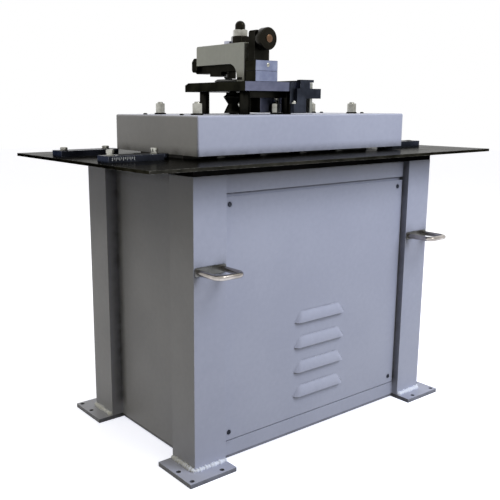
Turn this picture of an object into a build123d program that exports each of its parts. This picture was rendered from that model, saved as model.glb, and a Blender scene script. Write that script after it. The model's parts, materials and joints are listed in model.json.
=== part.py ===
# Seam rolling machine: a cabinet on four legs, a long table, a covered roll head and a flanging attachment.
# Millimetres. The origin lies on the floor under the middle of the cabinet. +X runs along the table to the
# exit end, +Y to the back and +Z up.
from build123d import *
from math import atan2, cos, degrees, pi, radians, sin, sqrt, tan
import os

os.makedirs("parts", exist_ok=True)

# Fits
running_gap = 0.05          # radial, shaft in its bore
fixed_gap = 0.02            # radial, ring on its own shaft
loose_gap = 0.3             # radial, bolt in its hole, and between rounded faces that move past each other
hole_gap = 1                # radial, bolt or post through a sheet
slide_gap = 0.2             # under and over a piece that slides
window_gap = 2              # round the roll head where it passes through a plate

# Legs and feet
cabinet_length = 900
cabinet_depth = 520
leg_size = 100
leg_wall = 5
frame_height = 759
foot_thickness = 12
foot_reach = 45
foot_hole_radius = 6.5
foot_hole_edge = 13
foot_hole_along_front = 94
foot_hole_along_side = 59
weld_size = 6

# Sheet panels and door
sheet = 2
side_recess = 35
front_recess = 20
floor_gap = 4
panel_flange = 18
rail_height = 52
skirt_height = 48
rail_lip = 42
door_seam = 1.5
door_top_seam = 4
door_pan = 12
door_screw_inset = 24
door_screw_radius = 2.5
door_screw_head_radius = 6
door_screw_head = 3
louvre_count = 4
louvre_pitch = 72.8
louvre_rise = 62
louvre_shift = 6            # to the right of the door's middle
louvre_width = 197
louvre_depth = 12
louvre_height = 30
louvre_slope = 58
louvre_round = 14
louvre_root = 1.5

# Handles on the front legs
handle_height = 530
handle_inset = 12
handle_reach = 82
handle_radius = 7
handle_bend = 18

# Bed and table
bed_thickness = 23
table_thickness = 8
table_overhang = 235        # beyond the cover's ends
table_depth = 700

# Gears
gear_module = 4
roll_teeth = 16
idler_teeth = 21
drive_teeth = 36
bevel_teeth = 12
gear_width = 20
gear_side_gap = 4
gear_backlash = 0.6
bevel_backlash = 0.8
bevel_face = 9
tooth_addendum = 0.9
tooth_root = 1.15
tooth_flank = 20
tooth_foot_share = 0.55
idler_journal = 10

# Roll head
first_station = -274
station_count = 4
pass_rise = 5
roll_gap = 1
roll_side_gap = 4
roll_width = 34
roll_bend_width = 12
bend_step = 2
roll_window_gap = 5
shaft_radius = 13
shaft_stub = 3
plate_inner = 72
plate_thickness = 30
head_left_overhang = 58
head_right_overhang = 130
head_bar = 36
head_rise = 17
lower_head_wall = 15.5      # under the lower rolls
head_top_gap = 2.5          # over the widest upper roll
head_split_gap = 2
lug_width = 84

# Drive
drive_shaft_radius = 14
drive_shaft_stub = 4
pulley_gap = 12
pulley_width = 36
pulley_flange = 3
pulley_lip = 4
driven_radius = 63
motor_pulley_radius = 42
belt_thickness = 5
belt_side_gap = 0.5
shelf_top = 160
shelf_thickness = 8
shelf_lip = 32
shelf_seat = 40             # past the legs' inner sides
reducer_width = 140
reducer_depth = 150
reducer_height = 185
reducer_gap = 22
reducer_chamfer = 12
output_rise = 115
output_socket = 60
motor_rise = 90
motor_radius = 78
motor_length = 180
motor_cap = 34
motor_cap_radius = 66
motor_foot = 12
motor_foot_reach = 22

# Cover, its screws and the pressure bolts
cover_left_margin = 22      # beyond the end bars and the shafts
cover_right_margin = 54
cover_side_margin = 54
cover_slot = 10
cover_head_gap = 12
cover_fold = 5
cover_screw_left = 28       # beyond the side plates' left end
cover_screw_right = 26      # beyond the side plates' right end
cover_screw_radius = 2.5
cover_screw_head_radius = 6
cover_screw_head = 4
standoff_radius = 7
standoff_thread = 14
pressure_bolt_left = 21     # from the side plates' left end
pressure_bolt_right = 22    # from the side plates' right end
pressure_bolt_middle = 15   # to the right of the drive shaft
pressure_bolt_radius = 8
pressure_bolt_thread = 18
pressure_nut_flats = 24
pressure_nut_height = 26
pressure_nut_seat = 4
inner_nut_height = 13
nut_crown = 0.96            # share of the width across flats that stays flat on top
nut_crown_angle = 30

# Guides on the table
guide_inset = 25
guide_length = 180
guide_width = 55
guide_height = 16
guide_nose = 26
guide_travel = 10
front_guide_edge = -133
rear_guide_edge = 115
exit_guide_gap = 10
exit_guide_length = 163
exit_guide_height = 18
guide_bolt_inset = 20       # from the outer end
guide_nose_inset = 36       # from the inner end
guide_bolt_radius = 5
guide_bolt_flats = 17
guide_bolt_head = 7
guide_washer = 2
guide_washer_radius = 11

# Flanging attachment: carrier, posts and plate
bridge_thickness = 14
bridge_left = 80            # from the spindle
bridge_right = 38           # beyond the right posts
bridge_half_depth = 118
post_left = 29              # from the spindle
post_right = 37             # from the middle pressure bolts
post_row = 90
post_radius = 14
post_tie_height = 17
post_tie_depth = 20
flanger_left = 64           # from the spindle
flanger_right = 49          # beyond the right posts
flanger_back = 139
flanger_rise = 62
flanger_thickness = 25
flanger_bevel = 16
flanger_bevel_drop = 6
boss_left = 43              # from the middle pressure bolts
boss_right = 40
boss_gap = 17
boss_depth = 45
boss_rise = 4

# Arm, clamp bolt, lever and pressing roll
arm_half_width = 31
arm_leg = 32
arm_back = 126
arm_thickness = 54
arm_disc_gap = 1
arm_pocket_depth = 10
arm_pocket_reach = 24
arm_pocket_rise = 5
arm_pocket_height = 7
throat_round = 33
arm_corner = 6
clamp_setback = 55
clamp_stud_radius = 10
clamp_stud_depth = 30
clamp_base_flats = 46
clamp_base_height = 20
clamp_nut_flats = 37
clamp_nut_height = 17
clamp_cap_radius = 14
clamp_cap_height = 24
clamp_cap_side = 12
lever_half_width = 19
lever_front = -40
lever_block_front = 25.5
lever_block_back = 77
lever_rise = 10
lever_block_drop = 9
lever_height = 24
lever_tuck = 2
lever_pivot_setback = 12
lever_pin_radius = 5
lever_side_gap = 2
lever_nose_gap = 1.5
groove_play = 11
groove_end_gap = 4
bracket_web_rise = 8
bracket_drop = 32
bracket_depth = 24
bracket_lift = 4
bracket_round = 9
bracket_chamfer = 10
bracket_web = 10
lever_screw_y = 15
lever_screw_radius = 8
lever_screw_head_radius = 13
lever_screw_head = 10
lever_screw_gap = 0.5
pressing_roll_radius = 10
pressing_roll_gap = 1
pressing_roll_length = 21
pressing_axle_radius = 5
fork_half_width = 14
fork_thickness = 5
fork_rise = 3

# Upright spindle and disc
spindle_y = -5
spindle_radius = 10
spool_gap = 3
spool_radius = 26.5
spool_foot_radius = 25
spool_waist = 14
spool_waist_rise = 25
spool_rim = 2
spool_rim_rise = 44
spool_collar_radius = 19.5
spool_collar_rise = 5
spool_collar_gap = 2
disc_radius = 52
disc_top_radius = 45
disc_gap = 1.5
disc_edge = 2.5
disc_height = 6.5

# Stacked blocks, knob, side bracket and gauge
riser_left = 29             # from the spindle
riser_right = 51
riser_gap = 3
riser_depth = 42
riser_height = 27.5
riser_chamfer = 2
knob_bracket_width = 52
knob_bracket_setback = 5
knob_bracket_depth = 25
knob_bracket_height = 77
knob_bracket_corner = 8
knob_rise = 54
knob_radius = 29
knob_length = 22
knob_seat = 2
knob_stem_radius = 8
knob_boss_radius = 10
knob_boss = 2
knob_chamfer = 2
gauge_bracket_width = 10
gauge_bracket_depth = 18
gauge_bracket_gap = 3
gauge_bar_overlap = 63      # from the plate's right end, as the next four
gauge_tab_width = 52
gauge_neck_left = 62
gauge_foot_left = 75
gauge_foot_right = 37
gauge_bar_length = 92
gauge_bar_depth = 14
gauge_bar_height = 27
gauge_bar_rise = 8
gauge_bar_round = 7
gauge_tab_rise = 7
gauge_foot_height = 26
gauge_fence_width = 14
gauge_fence_back = 60

# Switch on the right panel
switch_front = -60
switch_width = 80
switch_drop = 69            # below the top of the legs
switch_height = 130
switch_depth = 60
switch_corner = 6
switch_wall = 3
start_drop = 38
stop_drop = 92
start_radius = 11
stop_radius = 17
button_stem = 8
button_stem_length = 20
button_head = 8
button_travel = 3
button_chamfer = 2
gland_radius = 9
gland_length = 16

# Cabinet sizes that follow from those above
half_length = cabinet_length / 2
half_depth = cabinet_depth / 2
leg_inner_x = half_length - leg_size
leg_inner_y = half_depth - leg_size
side_face = half_length - side_recess
front_face = front_recess - half_depth
rear_face = half_depth - front_recess
door_bottom = floor_gap + skirt_height
door_top = frame_height - rail_height
door_half = leg_inner_x - door_seam
louvre_first = door_bottom + louvre_rise
handle_width = leg_size - 2 * handle_inset
shelf_half = leg_inner_y + shelf_seat
bed_top = frame_height + bed_thickness
table_top = bed_top + table_thickness

# Roll head sizes that follow
station_pitch = gear_module * (roll_teeth + idler_teeth)
stations = [first_station + index * station_pitch for index in range(station_count)]
idlers = [(stations[0] + stations[1]) / 2, (stations[2] + stations[3]) / 2]
roll_radius = gear_module * roll_teeth / 2
pass_height = table_top + pass_rise
lower_axis = pass_height - roll_gap / 2 - roll_radius
upper_axis = pass_height + roll_gap / 2 + roll_radius
plate_outer = plate_inner + plate_thickness
roll_inner = plate_outer + roll_side_gap
roll_flat = roll_inner + roll_bend_width
roll_outer = roll_inner + roll_width
shaft_end = roll_outer + shaft_stub
gear_front = gear_side_gap - plate_inner
head_left = stations[0] - head_left_overhang
head_right = stations[-1] + head_right_overhang
lower_head_bottom = lower_axis - roll_radius - lower_head_wall
head_split = bed_top + head_rise
upper_head_top = upper_axis + roll_radius + bend_step * station_count + head_top_gap
bridge_top = upper_head_top + bridge_thickness
window_half_depth = roll_outer + roll_window_gap
drive_x = (stations[1] + stations[2]) / 2
drive_distance = gear_module * (roll_teeth + drive_teeth) / 2
drive_axis = lower_axis - sqrt(drive_distance ** 2 - (station_pitch / 2) ** 2)
pulley_front = roll_outer + pulley_gap
pulley_back = pulley_front + pulley_width
output_height = shelf_top + output_rise
reducer_back = pulley_front - reducer_gap
reducer_front = reducer_back - reducer_depth

# Cover and guide sizes that follow
cover_bottom = table_top + cover_slot
cover_inside = bridge_top + cover_head_gap
cover_top = cover_inside + sheet
cover_left = head_left - head_bar - cover_left_margin
cover_right = head_right + head_bar + cover_right_margin
cover_half_depth = shaft_end + cover_side_margin
table_left = cover_left - table_overhang
table_right = cover_right + table_overhang
bolt_row = (plate_inner + plate_outer) / 2
middle_bolt_x = drive_x + pressure_bolt_middle
bolt_xs = [head_left + pressure_bolt_left, middle_bolt_x, head_right - pressure_bolt_right]
pressure_bolts_at = [(x, y) for x in bolt_xs for y in (-bolt_row, bolt_row)]
cover_screw_xs = [head_left - cover_screw_left, head_right + cover_screw_right]
cover_screws_at = [(x, y) for x in cover_screw_xs for y in (-bolt_row, bolt_row)]
guide_left = table_left + guide_inset
exit_guide_left = cover_right + exit_guide_gap
guide_seat = table_top + slide_gap
washer_seat = guide_seat + guide_height + slide_gap


def bolt_places(outer, inner, edge):
    """Places of a guide's two bolts, one near its outer and one near its inner end."""
    middle = edge + guide_width / 2
    step = 1 if inner > outer else -1
    return [(outer + step * guide_bolt_inset, middle), (inner - step * guide_nose_inset, middle)]


front_bolts_at = bolt_places(guide_left, guide_left + guide_length, front_guide_edge)
rear_bolts_at = bolt_places(guide_left, guide_left + guide_length, rear_guide_edge)
exit_bolts_at = bolt_places(exit_guide_left + exit_guide_length, exit_guide_left, front_guide_edge)
all_guide_bolts = front_bolts_at + rear_bolts_at + exit_bolts_at

# Attachment sizes that follow
flanger_x = stations[1]
spindle_at = (flanger_x, spindle_y)
bevel_radius = gear_module * bevel_teeth / 2
left_posts_x = flanger_x - post_left
right_posts_x = middle_bolt_x + post_right
posts_at = [(x, y) for x in (left_posts_x, right_posts_x) for y in (-post_row, post_row)]
flanger_bottom = cover_top + flanger_rise
flanger_top = flanger_bottom + flanger_thickness
flanger_end = right_posts_x + flanger_right
disc_bottom = flanger_top + disc_gap
disc_top = disc_bottom + disc_height
pressing_roll_axis = disc_top + pressing_roll_gap + pressing_roll_radius
pressing_roll_back = lever_block_front - slide_gap
pressing_roll_front = pressing_roll_back - pressing_roll_length
lever_block_bottom = disc_top + lever_rise
lever_bottom = lever_block_bottom + lever_block_drop
lever_nose_bottom = pressing_roll_axis + pressing_roll_radius + lever_nose_gap
lever_top = lever_bottom + lever_height
lever_pivot_y = arm_back + lever_pivot_setback
lever_pivot_z = (lever_bottom + lever_top) / 2
lever_left = flanger_x - lever_half_width
lever_right = flanger_x + lever_half_width
cheek_inner = lever_half_width + lever_side_gap
arm_under = lever_top - lever_tuck
arm_top = arm_under + arm_thickness
arm_left = flanger_x - arm_half_width
arm_right = flanger_x + arm_half_width
arm_leg_back = spindle_y - disc_radius - arm_disc_gap
arm_front = arm_leg_back - arm_leg
clamp_y = arm_front + clamp_setback
riser_back = arm_front - riser_gap
riser_front = riser_back - riser_depth
riser_split = flanger_top + riser_height
riser_top = riser_split + riser_height
knob_bracket_front = riser_front + knob_bracket_setback
knob_bracket_back = knob_bracket_front + knob_bracket_depth


def save(builder, name):
    """Label a finished piece and write it to its own file."""
    builder.part.label = name
    export_step(builder.part, f"parts/{name}.step")


def block(x_ends, y_ends, z_ends, mode=Mode.ADD):
    """A block between two ends along each axis."""
    middle = [(ends[0] + ends[1]) / 2 for ends in (x_ends, y_ends, z_ends)]
    with Locations(tuple(middle)):
        Box(x_ends[1] - x_ends[0], y_ends[1] - y_ends[0], z_ends[1] - z_ends[0], mode=mode)


def round_z(places, radius, z_ends, mode=Mode.ADD):
    """Upright round bars or holes at the given (x, y) places."""
    with BuildSketch(Plane.XY.offset(z_ends[0]), mode=Mode.PRIVATE) as ring:
        with Locations(*places):
            Circle(radius)
    extrude(ring.sketch, amount=z_ends[1] - z_ends[0], mode=mode)


def round_y(places, radius, y_ends, mode=Mode.ADD):
    """Round bars or holes along Y at the given (x, z) places."""
    with BuildSketch(Plane.XZ.offset(-y_ends[0]), mode=Mode.PRIVATE) as ring:
        with Locations(*places):
            Circle(radius)
    extrude(ring.sketch, amount=y_ends[0] - y_ends[1], mode=mode)


def round_x(places, radius, x_ends, mode=Mode.ADD):
    """Round bars or holes along X at the given (y, z) places."""
    with BuildSketch(Plane.YZ.offset(x_ends[0]), mode=Mode.PRIVATE) as ring:
        with Locations(*places):
            Circle(radius)
    extrude(ring.sketch, amount=x_ends[1] - x_ends[0], mode=mode)


def hexagon_z(places, flats, z_ends):
    """Upright hexagon bars of the given width across flats."""
    with BuildSketch(Plane.XY.offset(z_ends[0]), mode=Mode.PRIVATE) as outline:
        with Locations(*places):
            RegularPolygon(radius=flats / 2, side_count=6, major_radius=False)
    extrude(outline.sketch, amount=z_ends[1] - z_ends[0])


def crowned_nuts(places, flats, z_ends):
    """Upright hexagon nuts whose corners are cut back round the top."""
    height = z_ends[1] - z_ends[0]
    corner = flats / sqrt(3)
    crown = nut_crown * flats / 2
    crown_drop = (corner - crown) * tan(radians(nut_crown_angle))
    with BuildPart(mode=Mode.PRIVATE) as nut:
        with BuildSketch():
            RegularPolygon(radius=flats / 2, side_count=6, major_radius=False)
        extrude(amount=height)
        with BuildSketch(Plane.XZ):
            with BuildLine():
                Polyline(
                    (0, 0), (corner, 0), (corner, height - crown_drop), (crown, height), (0, height), close=True
                )
            make_face()
        revolve(axis=Axis.Z, mode=Mode.INTERSECT)
    with Locations(*[(x, y, z_ends[0]) for x, y in places]):
        add(nut.part)


def gear_outline(plane, teeth, phase, backlash, scale=1.0):
    """A straight-sided gear outline with one tooth centred at the phase angle, in degrees."""
    pitch_radius = gear_module * teeth / 2
    tip_radius = pitch_radius + tooth_addendum * gear_module
    root_radius = pitch_radius - tooth_root * gear_module
    thickness = pi * gear_module / 2 - backlash
    slope = 2 * tan(radians(tooth_flank)) * gear_module
    tip_angle = (thickness - slope * tooth_addendum) / (2 * tip_radius)
    root_angle = (thickness + slope * tooth_root * tooth_foot_share) / (2 * root_radius)
    points = []
    for tooth in range(teeth):
        centre = radians(phase) + 2 * pi * tooth / teeth
        for radius, turn in (
            (root_radius, -root_angle),
            (tip_radius, -tip_angle),
            (tip_radius, tip_angle),
            (root_radius, root_angle),
        ):
            points.append((scale * radius * cos(centre + turn), scale * radius * sin(centre + turn)))
    with BuildSketch(plane, mode=Mode.PRIVATE) as outline:
        with BuildLine():
            Polyline(*points, close=True)
        make_face()
    return outline.sketch


def meshing_phase(leader_phase, leader_teeth, follower_teeth, direction):
    """Phase of a follower whose gap faces the leader's tooth. The direction runs from leader to follower."""
    leader_place = ((direction - leader_phase) * leader_teeth / 360) % 1
    follower_place = (0.5 - leader_place) % 1
    return direction + 180 - follower_place * 360 / follower_teeth


def gear_plane(x, z):
    """The front plane of a spur gear, its angles running from +X to +Z."""
    return Plane(origin=(x, gear_front + gear_width, z), x_dir=(1, 0, 0), z_dir=(0, -1, 0))


def span(first, second):
    """Two ends in rising order."""
    return (min(first, second), max(first, second))


# Phases, passed on from the drive gear through every mesh
drive_phase = 0
drive_rise = lower_axis - drive_axis
lower_phases = [0] * station_count
for index in (1, 2):
    lean = degrees(atan2(drive_rise, stations[index] - drive_x))
    lower_phases[index] = meshing_phase(drive_phase, drive_teeth, roll_teeth, lean)
idler_phases = []
for inner, outer, direction in ((1, 0, 180), (2, 3, 0)):
    idler_phase = meshing_phase(lower_phases[inner], roll_teeth, idler_teeth, direction)
    lower_phases[outer] = meshing_phase(idler_phase, idler_teeth, roll_teeth, direction)
    idler_phases.append(idler_phase)
upper_phases = [meshing_phase(phase, roll_teeth, roll_teeth, 90) for phase in lower_phases]


# Legs welded to their foot plates
def leg(name, side, end):
    """One leg. The side is -1 on the left and the end -1 at the front."""
    x_tube = span(side * leg_inner_x, side * half_length)
    y_tube = span(end * leg_inner_y, end * half_depth)
    x_edge = side * (half_length + foot_reach)
    y_edge = end * (half_depth + foot_reach)
    x_hole = x_edge - side * foot_hole_edge
    y_hole = y_edge - end * foot_hole_edge
    holes = [
        (x_hole, y_hole),
        (x_hole - side * foot_hole_along_front, y_hole),
        (x_hole, y_hole - end * foot_hole_along_side),
    ]
    bead_middle = (
        sum(x_tube) / 2 + side * weld_size / 2,
        sum(y_tube) / 2 + end * weld_size / 2,
    )
    with BuildPart() as piece:
        block(span(side * leg_inner_x, x_edge), span(end * leg_inner_y, y_edge), (0, foot_thickness))
        with BuildSketch(Plane.XY.offset(foot_thickness)):
            with Locations(bead_middle):
                Rectangle(leg_size + weld_size, leg_size + weld_size)
        extrude(amount=weld_size, taper=45)
        block(x_tube, y_tube, (foot_thickness, frame_height))
        block(
            (x_tube[0] + leg_wall, x_tube[1] - leg_wall),
            (y_tube[0] + leg_wall, y_tube[1] - leg_wall),
            (foot_thickness, frame_height),
            Mode.SUBTRACT,
        )
        round_z(holes, foot_hole_radius, (0, foot_thickness), Mode.SUBTRACT)
    save(piece, name)


leg("leg_front_left", -1, -1)
leg("leg_front_right", 1, -1)
leg("leg_rear_left", -1, 1)
leg("leg_rear_right", 1, 1)


# Fixed strips above and below the door, each stepped back to a lip behind the door
door_back = front_face + door_pan


def front_strip(name, outer_end, door_end, lip_end):
    """A strip between its outer end and the door, and a lip that the door's folded edge rests on."""
    fold = door_end + sheet if outer_end > door_end else door_end - sheet
    with BuildPart() as piece:
        with BuildSketch(Plane.YZ.offset(-leg_inner_x)):
            with BuildLine():
                Polyline(
                    (front_face, outer_end),
                    (front_face, door_end),
                    (door_back, door_end),
                    (door_back, lip_end),
                    (door_back + sheet, lip_end),
                    (door_back + sheet, fold),
                    (front_face + sheet, fold),
                    (front_face + sheet, outer_end),
                    close=True,
                )
            make_face()
        extrude(amount=2 * leg_inner_x)
    save(piece, name)


front_strip("front_top_rail", frame_height, door_top + door_top_seam, door_top - rail_lip)
front_strip("front_skirt", floor_gap, door_bottom - door_seam, door_bottom + rail_lip)


# Door folded back along its edges, with four pressed louvres
def hood(bottom, inset, root, mode):
    """A louvre's outside, or its hollow where the inset is the sheet's thickness. Open at the bottom."""
    half_width = louvre_width / 2 - inset
    height = louvre_height - inset
    front = front_face - louvre_depth + inset
    with BuildPart(mode=Mode.PRIVATE) as bulge:
        with BuildSketch(Plane.XZ.offset(-root)):
            with Locations((louvre_shift, bottom)):
                Rectangle(2 * half_width, 2 * height)
        extrude(amount=root - front, taper=louvre_slope)
        raised_edges = [edge for group in bulge.edges().group_by(Axis.Y)[:-1] for edge in group]
        fillet(raised_edges, radius=louvre_round - inset)
        block(
            (louvre_shift - half_width, louvre_shift + half_width),
            (front, root),
            (bottom - height, bottom),
            Mode.SUBTRACT,
        )
    add(bulge.part, mode=mode)


door_screws_at = [
    (x, z)
    for x in (door_screw_inset - door_half, door_half - door_screw_inset)
    for z in (door_bottom + door_screw_inset, door_top - door_screw_inset)
]
with BuildPart() as front_door:
    block((-door_half, door_half), (front_face, door_back), (door_bottom, door_top))
    block(
        (sheet - door_half, door_half - sheet),
        (front_face + sheet, door_back),
        (door_bottom + sheet, door_top - sheet),
        Mode.SUBTRACT,
    )
    for index in range(louvre_count):
        hood(louvre_first + index * louvre_pitch, 0, front_face + louvre_root, Mode.ADD)
    for index in range(louvre_count):
        hood(louvre_first + index * louvre_pitch, sheet, front_face + sheet, Mode.SUBTRACT)
    round_y(door_screws_at, door_screw_radius + loose_gap, (front_face, front_face + sheet), Mode.SUBTRACT)
save(front_door, "front_door")

with BuildPart() as door_screws:
    for x, z in door_screws_at:
        with BuildSketch(Plane.YZ.offset(x)):
            with BuildLine():
                Polyline(
                    (front_face - door_screw_head, z),
                    (door_back, z),
                    (door_back, z + door_screw_radius),
                    (front_face, z + door_screw_radius),
                    (front_face, z + door_screw_head_radius),
                    (front_face - door_screw_head, z + door_screw_head_radius / 2),
                    close=True,
                )
            make_face()
        revolve(axis=Axis((x, 0, z), (0, 1, 0)))
save(door_screws, "door_screws")


# Folded panels between the legs
def side_panel(name, side):
    """A panel with flanges against the legs. The side is -1 on the left."""
    with BuildPart() as piece:
        with BuildSketch(Plane.XY.offset(floor_gap)):
            with BuildLine():
                Polyline(
                    (side * side_face, -leg_inner_y),
                    (side * side_face, leg_inner_y),
                    (side * (side_face - panel_flange), leg_inner_y),
                    (side * (side_face - panel_flange), leg_inner_y - sheet),
                    (side * (side_face - sheet), leg_inner_y - sheet),
                    (side * (side_face - sheet), sheet - leg_inner_y),
                    (side * (side_face - panel_flange), sheet - leg_inner_y),
                    (side * (side_face - panel_flange), -leg_inner_y),
                    close=True,
                )
            make_face()
        extrude(amount=frame_height - floor_gap)
    save(piece, name)


side_panel("left_panel", -1)
side_panel("right_panel", 1)

with BuildPart() as rear_panel:
    with BuildSketch(Plane.XY.offset(floor_gap)):
        with BuildLine():
            Polyline(
                (-leg_inner_x, rear_face),
                (leg_inner_x, rear_face),
                (leg_inner_x, rear_face - panel_flange),
                (leg_inner_x - sheet, rear_face - panel_flange),
                (leg_inner_x - sheet, rear_face - sheet),
                (sheet - leg_inner_x, rear_face - sheet),
                (sheet - leg_inner_x, rear_face - panel_flange),
                (-leg_inner_x, rear_face - panel_flange),
                close=True,
            )
        make_face()
    extrude(amount=frame_height - floor_gap)
save(rear_panel, "rear_panel")

# Bent bar handles on the front legs
with BuildPart() as leg_handles:
    for side in (-1, 1):
        middle = side * (half_length - leg_size / 2)
        near = middle - handle_width / 2
        far = middle + handle_width / 2
        with BuildLine(Plane.XY.offset(handle_height)) as bar_path:
            FilletPolyline(
                (near, -half_depth),
                (near, -half_depth - handle_reach),
                (far, -half_depth - handle_reach),
                (far, -half_depth),
                radius=handle_bend,
            )
        with BuildSketch(Plane(origin=(near, -half_depth, handle_height), z_dir=(0, -1, 0))) as bar_end:
            Circle(handle_radius)
        sweep(bar_end.sketch, path=bar_path.line)
save(leg_handles, "leg_handles")

# Bed plate and table, both with a window for the roll head
with BuildPart() as bed_plate:
    block((-half_length, half_length), (-half_depth, half_depth), (frame_height, bed_top))
    block(
        (head_left - window_gap, head_right + window_gap),
        (-window_half_depth, window_half_depth),
        (frame_height, bed_top),
        Mode.SUBTRACT,
    )
save(bed_plate, "bed_plate")

with BuildPart() as table:
    block((table_left, table_right), (-table_depth / 2, table_depth / 2), (bed_top, table_top))
    block(
        (head_left - head_bar - window_gap, head_right + head_bar + window_gap),
        (-window_half_depth - window_gap, window_half_depth + window_gap),
        (bed_top, table_top),
        Mode.SUBTRACT,
    )
    round_z(
        all_guide_bolts,
        guide_bolt_radius + fixed_gap,
        (bed_top, table_top),
        Mode.SUBTRACT,
    )
save(table, "table")

# Roll head: a lower and an upper frame of two side plates and two end bars
head_bars = [(head_left - head_bar, head_left), (head_right, head_right + head_bar)]
plate_sides = [(-plate_outer, -plate_inner), (plate_inner, plate_outer)]
whole_head = (-plate_outer, plate_outer)
shaft_bore = shaft_radius + running_gap
with BuildPart() as lower_head:
    for x_ends in head_bars:
        block(x_ends, whole_head, (bed_top, head_split))
    for y_ends in plate_sides:
        block((head_left, head_right), y_ends, (lower_head_bottom, head_split))
        block(
            (drive_x - lug_width / 2, drive_x + lug_width / 2),
            y_ends,
            (drive_axis, lower_head_bottom),
        )
        round_y([(drive_x, drive_axis)], lug_width / 2, y_ends)
    round_y([(x, lower_axis) for x in stations], shaft_bore, whole_head, Mode.SUBTRACT)
    round_y([(drive_x, drive_axis)], drive_shaft_radius + running_gap, whole_head, Mode.SUBTRACT)
    round_y(
        [(x, lower_axis) for x in idlers], idler_journal + running_gap, plate_sides[0], Mode.SUBTRACT
    )
    round_z(
        pressure_bolts_at,
        pressure_bolt_radius + fixed_gap,
        (head_split - pressure_bolt_thread, head_split),
        Mode.SUBTRACT,
    )
save(lower_head, "lower_head")

screw_bottom = cover_inside - standoff_thread
with BuildPart() as upper_head:
    for x_ends in head_bars:
        block(x_ends, whole_head, (head_split, upper_head_top))
    for y_ends in plate_sides:
        block((head_left, head_right), y_ends, (head_split + head_split_gap, upper_head_top))
    round_z(cover_screws_at, standoff_radius, (upper_head_top, cover_inside))
    round_y([(x, upper_axis) for x in stations], shaft_bore, whole_head, Mode.SUBTRACT)
    round_z(
        pressure_bolts_at, pressure_bolt_radius + loose_gap, (head_split, upper_head_top), Mode.SUBTRACT
    )
    round_z(
        cover_screws_at, cover_screw_radius + fixed_gap, (screw_bottom, cover_inside), Mode.SUBTRACT
    )
save(upper_head, "upper_head")

pressure_nut_bottom = cover_top + pressure_nut_seat
with BuildPart() as pressure_bolts:
    round_z(pressure_bolts_at, pressure_bolt_radius, (head_split - pressure_bolt_thread, pressure_nut_bottom))
    hexagon_z(pressure_bolts_at, pressure_nut_flats, (upper_head_top, upper_head_top + inner_nut_height))
    crowned_nuts(
        pressure_bolts_at,
        pressure_nut_flats,
        (pressure_nut_bottom, pressure_nut_bottom + pressure_nut_height),
    )
save(pressure_bolts, "pressure_bolts")


# Roll sets: a shaft with its gear, and a profiled roll on each end
def roll_set(name, x, axis_height, phase, bend, bevel=False):
    """The bend widens the inner edge of an upper roll, and narrows that of a lower one where it is negative."""
    bore = shaft_radius + fixed_gap
    with BuildPart() as piece:
        round_y([(x, axis_height)], shaft_radius, (-shaft_end, shaft_end))
        extrude(gear_outline(gear_plane(x, axis_height), roll_teeth, phase, gear_backlash), amount=gear_width)
        if bevel:
            back = Plane(
                origin=(x, spindle_y + bevel_radius, axis_height), x_dir=(1, 0, 0), z_dir=(0, -1, 0)
            )
            bevel_gear(back, 90)
        for end in (-1, 1):
            with BuildSketch(Plane.YZ.offset(x)):
                with BuildLine():
                    Polyline(
                        (end * roll_inner, axis_height + bore),
                        (end * roll_inner, axis_height + roll_radius + bend),
                        (end * roll_flat, axis_height + roll_radius),
                        (end * roll_outer, axis_height + roll_radius),
                        (end * roll_outer, axis_height + bore),
                        close=True,
                    )
                make_face()
            revolve(axis=Axis((x, 0, axis_height), (0, 1, 0)))
    save(piece, name)


def bevel_gear(back, phase):
    """A mitre gear that narrows along the plane's normal from its back plane to the shared apex."""
    small = 1 - bevel_face / bevel_radius
    wide_end = gear_outline(back, bevel_teeth, phase, bevel_backlash)
    narrow_end = gear_outline(back.offset(bevel_face), bevel_teeth, phase, bevel_backlash, small)
    loft([wide_end.face(), narrow_end.face()], ruled=True)


for index, x in enumerate(stations):
    bend = bend_step * (index + 1)
    roll_set(f"lower_roll_set_{index + 1}", x, lower_axis, lower_phases[index], -bend)
    roll_set(f"upper_roll_set_{index + 1}", x, upper_axis, upper_phases[index], bend, bevel=index == 1)

# Idler gears on stub journals in the front side plate
for index, x in enumerate(idlers):
    with BuildPart() as idler:
        extrude(
            gear_outline(gear_plane(x, lower_axis), idler_teeth, idler_phases[index], gear_backlash),
            amount=gear_width,
        )
        round_y([(x, lower_axis)], idler_journal, (-plate_outer, gear_front))
    save(idler, f"idler_gear_{index + 1}")

# Drive: shaft and gear, belt, motor


def pulley(x, z, radius):
    """A flat belt pulley with a lip at each side."""
    round_y([(x, z)], radius, (pulley_front, pulley_back))
    round_y([(x, z)], radius + pulley_lip, (pulley_front, pulley_front + pulley_flange))
    round_y([(x, z)], radius + pulley_lip, (pulley_back - pulley_flange, pulley_back))


with BuildPart() as drive_shaft:
    round_y([(drive_x, drive_axis)], drive_shaft_radius, (-plate_outer - drive_shaft_stub, pulley_back))
    extrude(
        gear_outline(gear_plane(drive_x, drive_axis), drive_teeth, drive_phase, gear_backlash),
        amount=gear_width,
    )
save(drive_shaft, "drive_shaft")

with BuildPart() as driven_pulley:
    pulley(drive_x, drive_axis, driven_radius)
    round_y(
        [(drive_x, drive_axis)], drive_shaft_radius + fixed_gap, (pulley_front, pulley_back), Mode.SUBTRACT
    )
save(driven_pulley, "driven_pulley")

with BuildPart() as motor_pulley:
    pulley(drive_x, output_height, motor_pulley_radius)
    round_y([(drive_x, output_height)], drive_shaft_radius, (reducer_back - output_socket, pulley_front))
save(motor_pulley, "motor_pulley")

belt_front = pulley_front + pulley_flange + belt_side_gap
belt_back = pulley_back - pulley_flange - belt_side_gap


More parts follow.
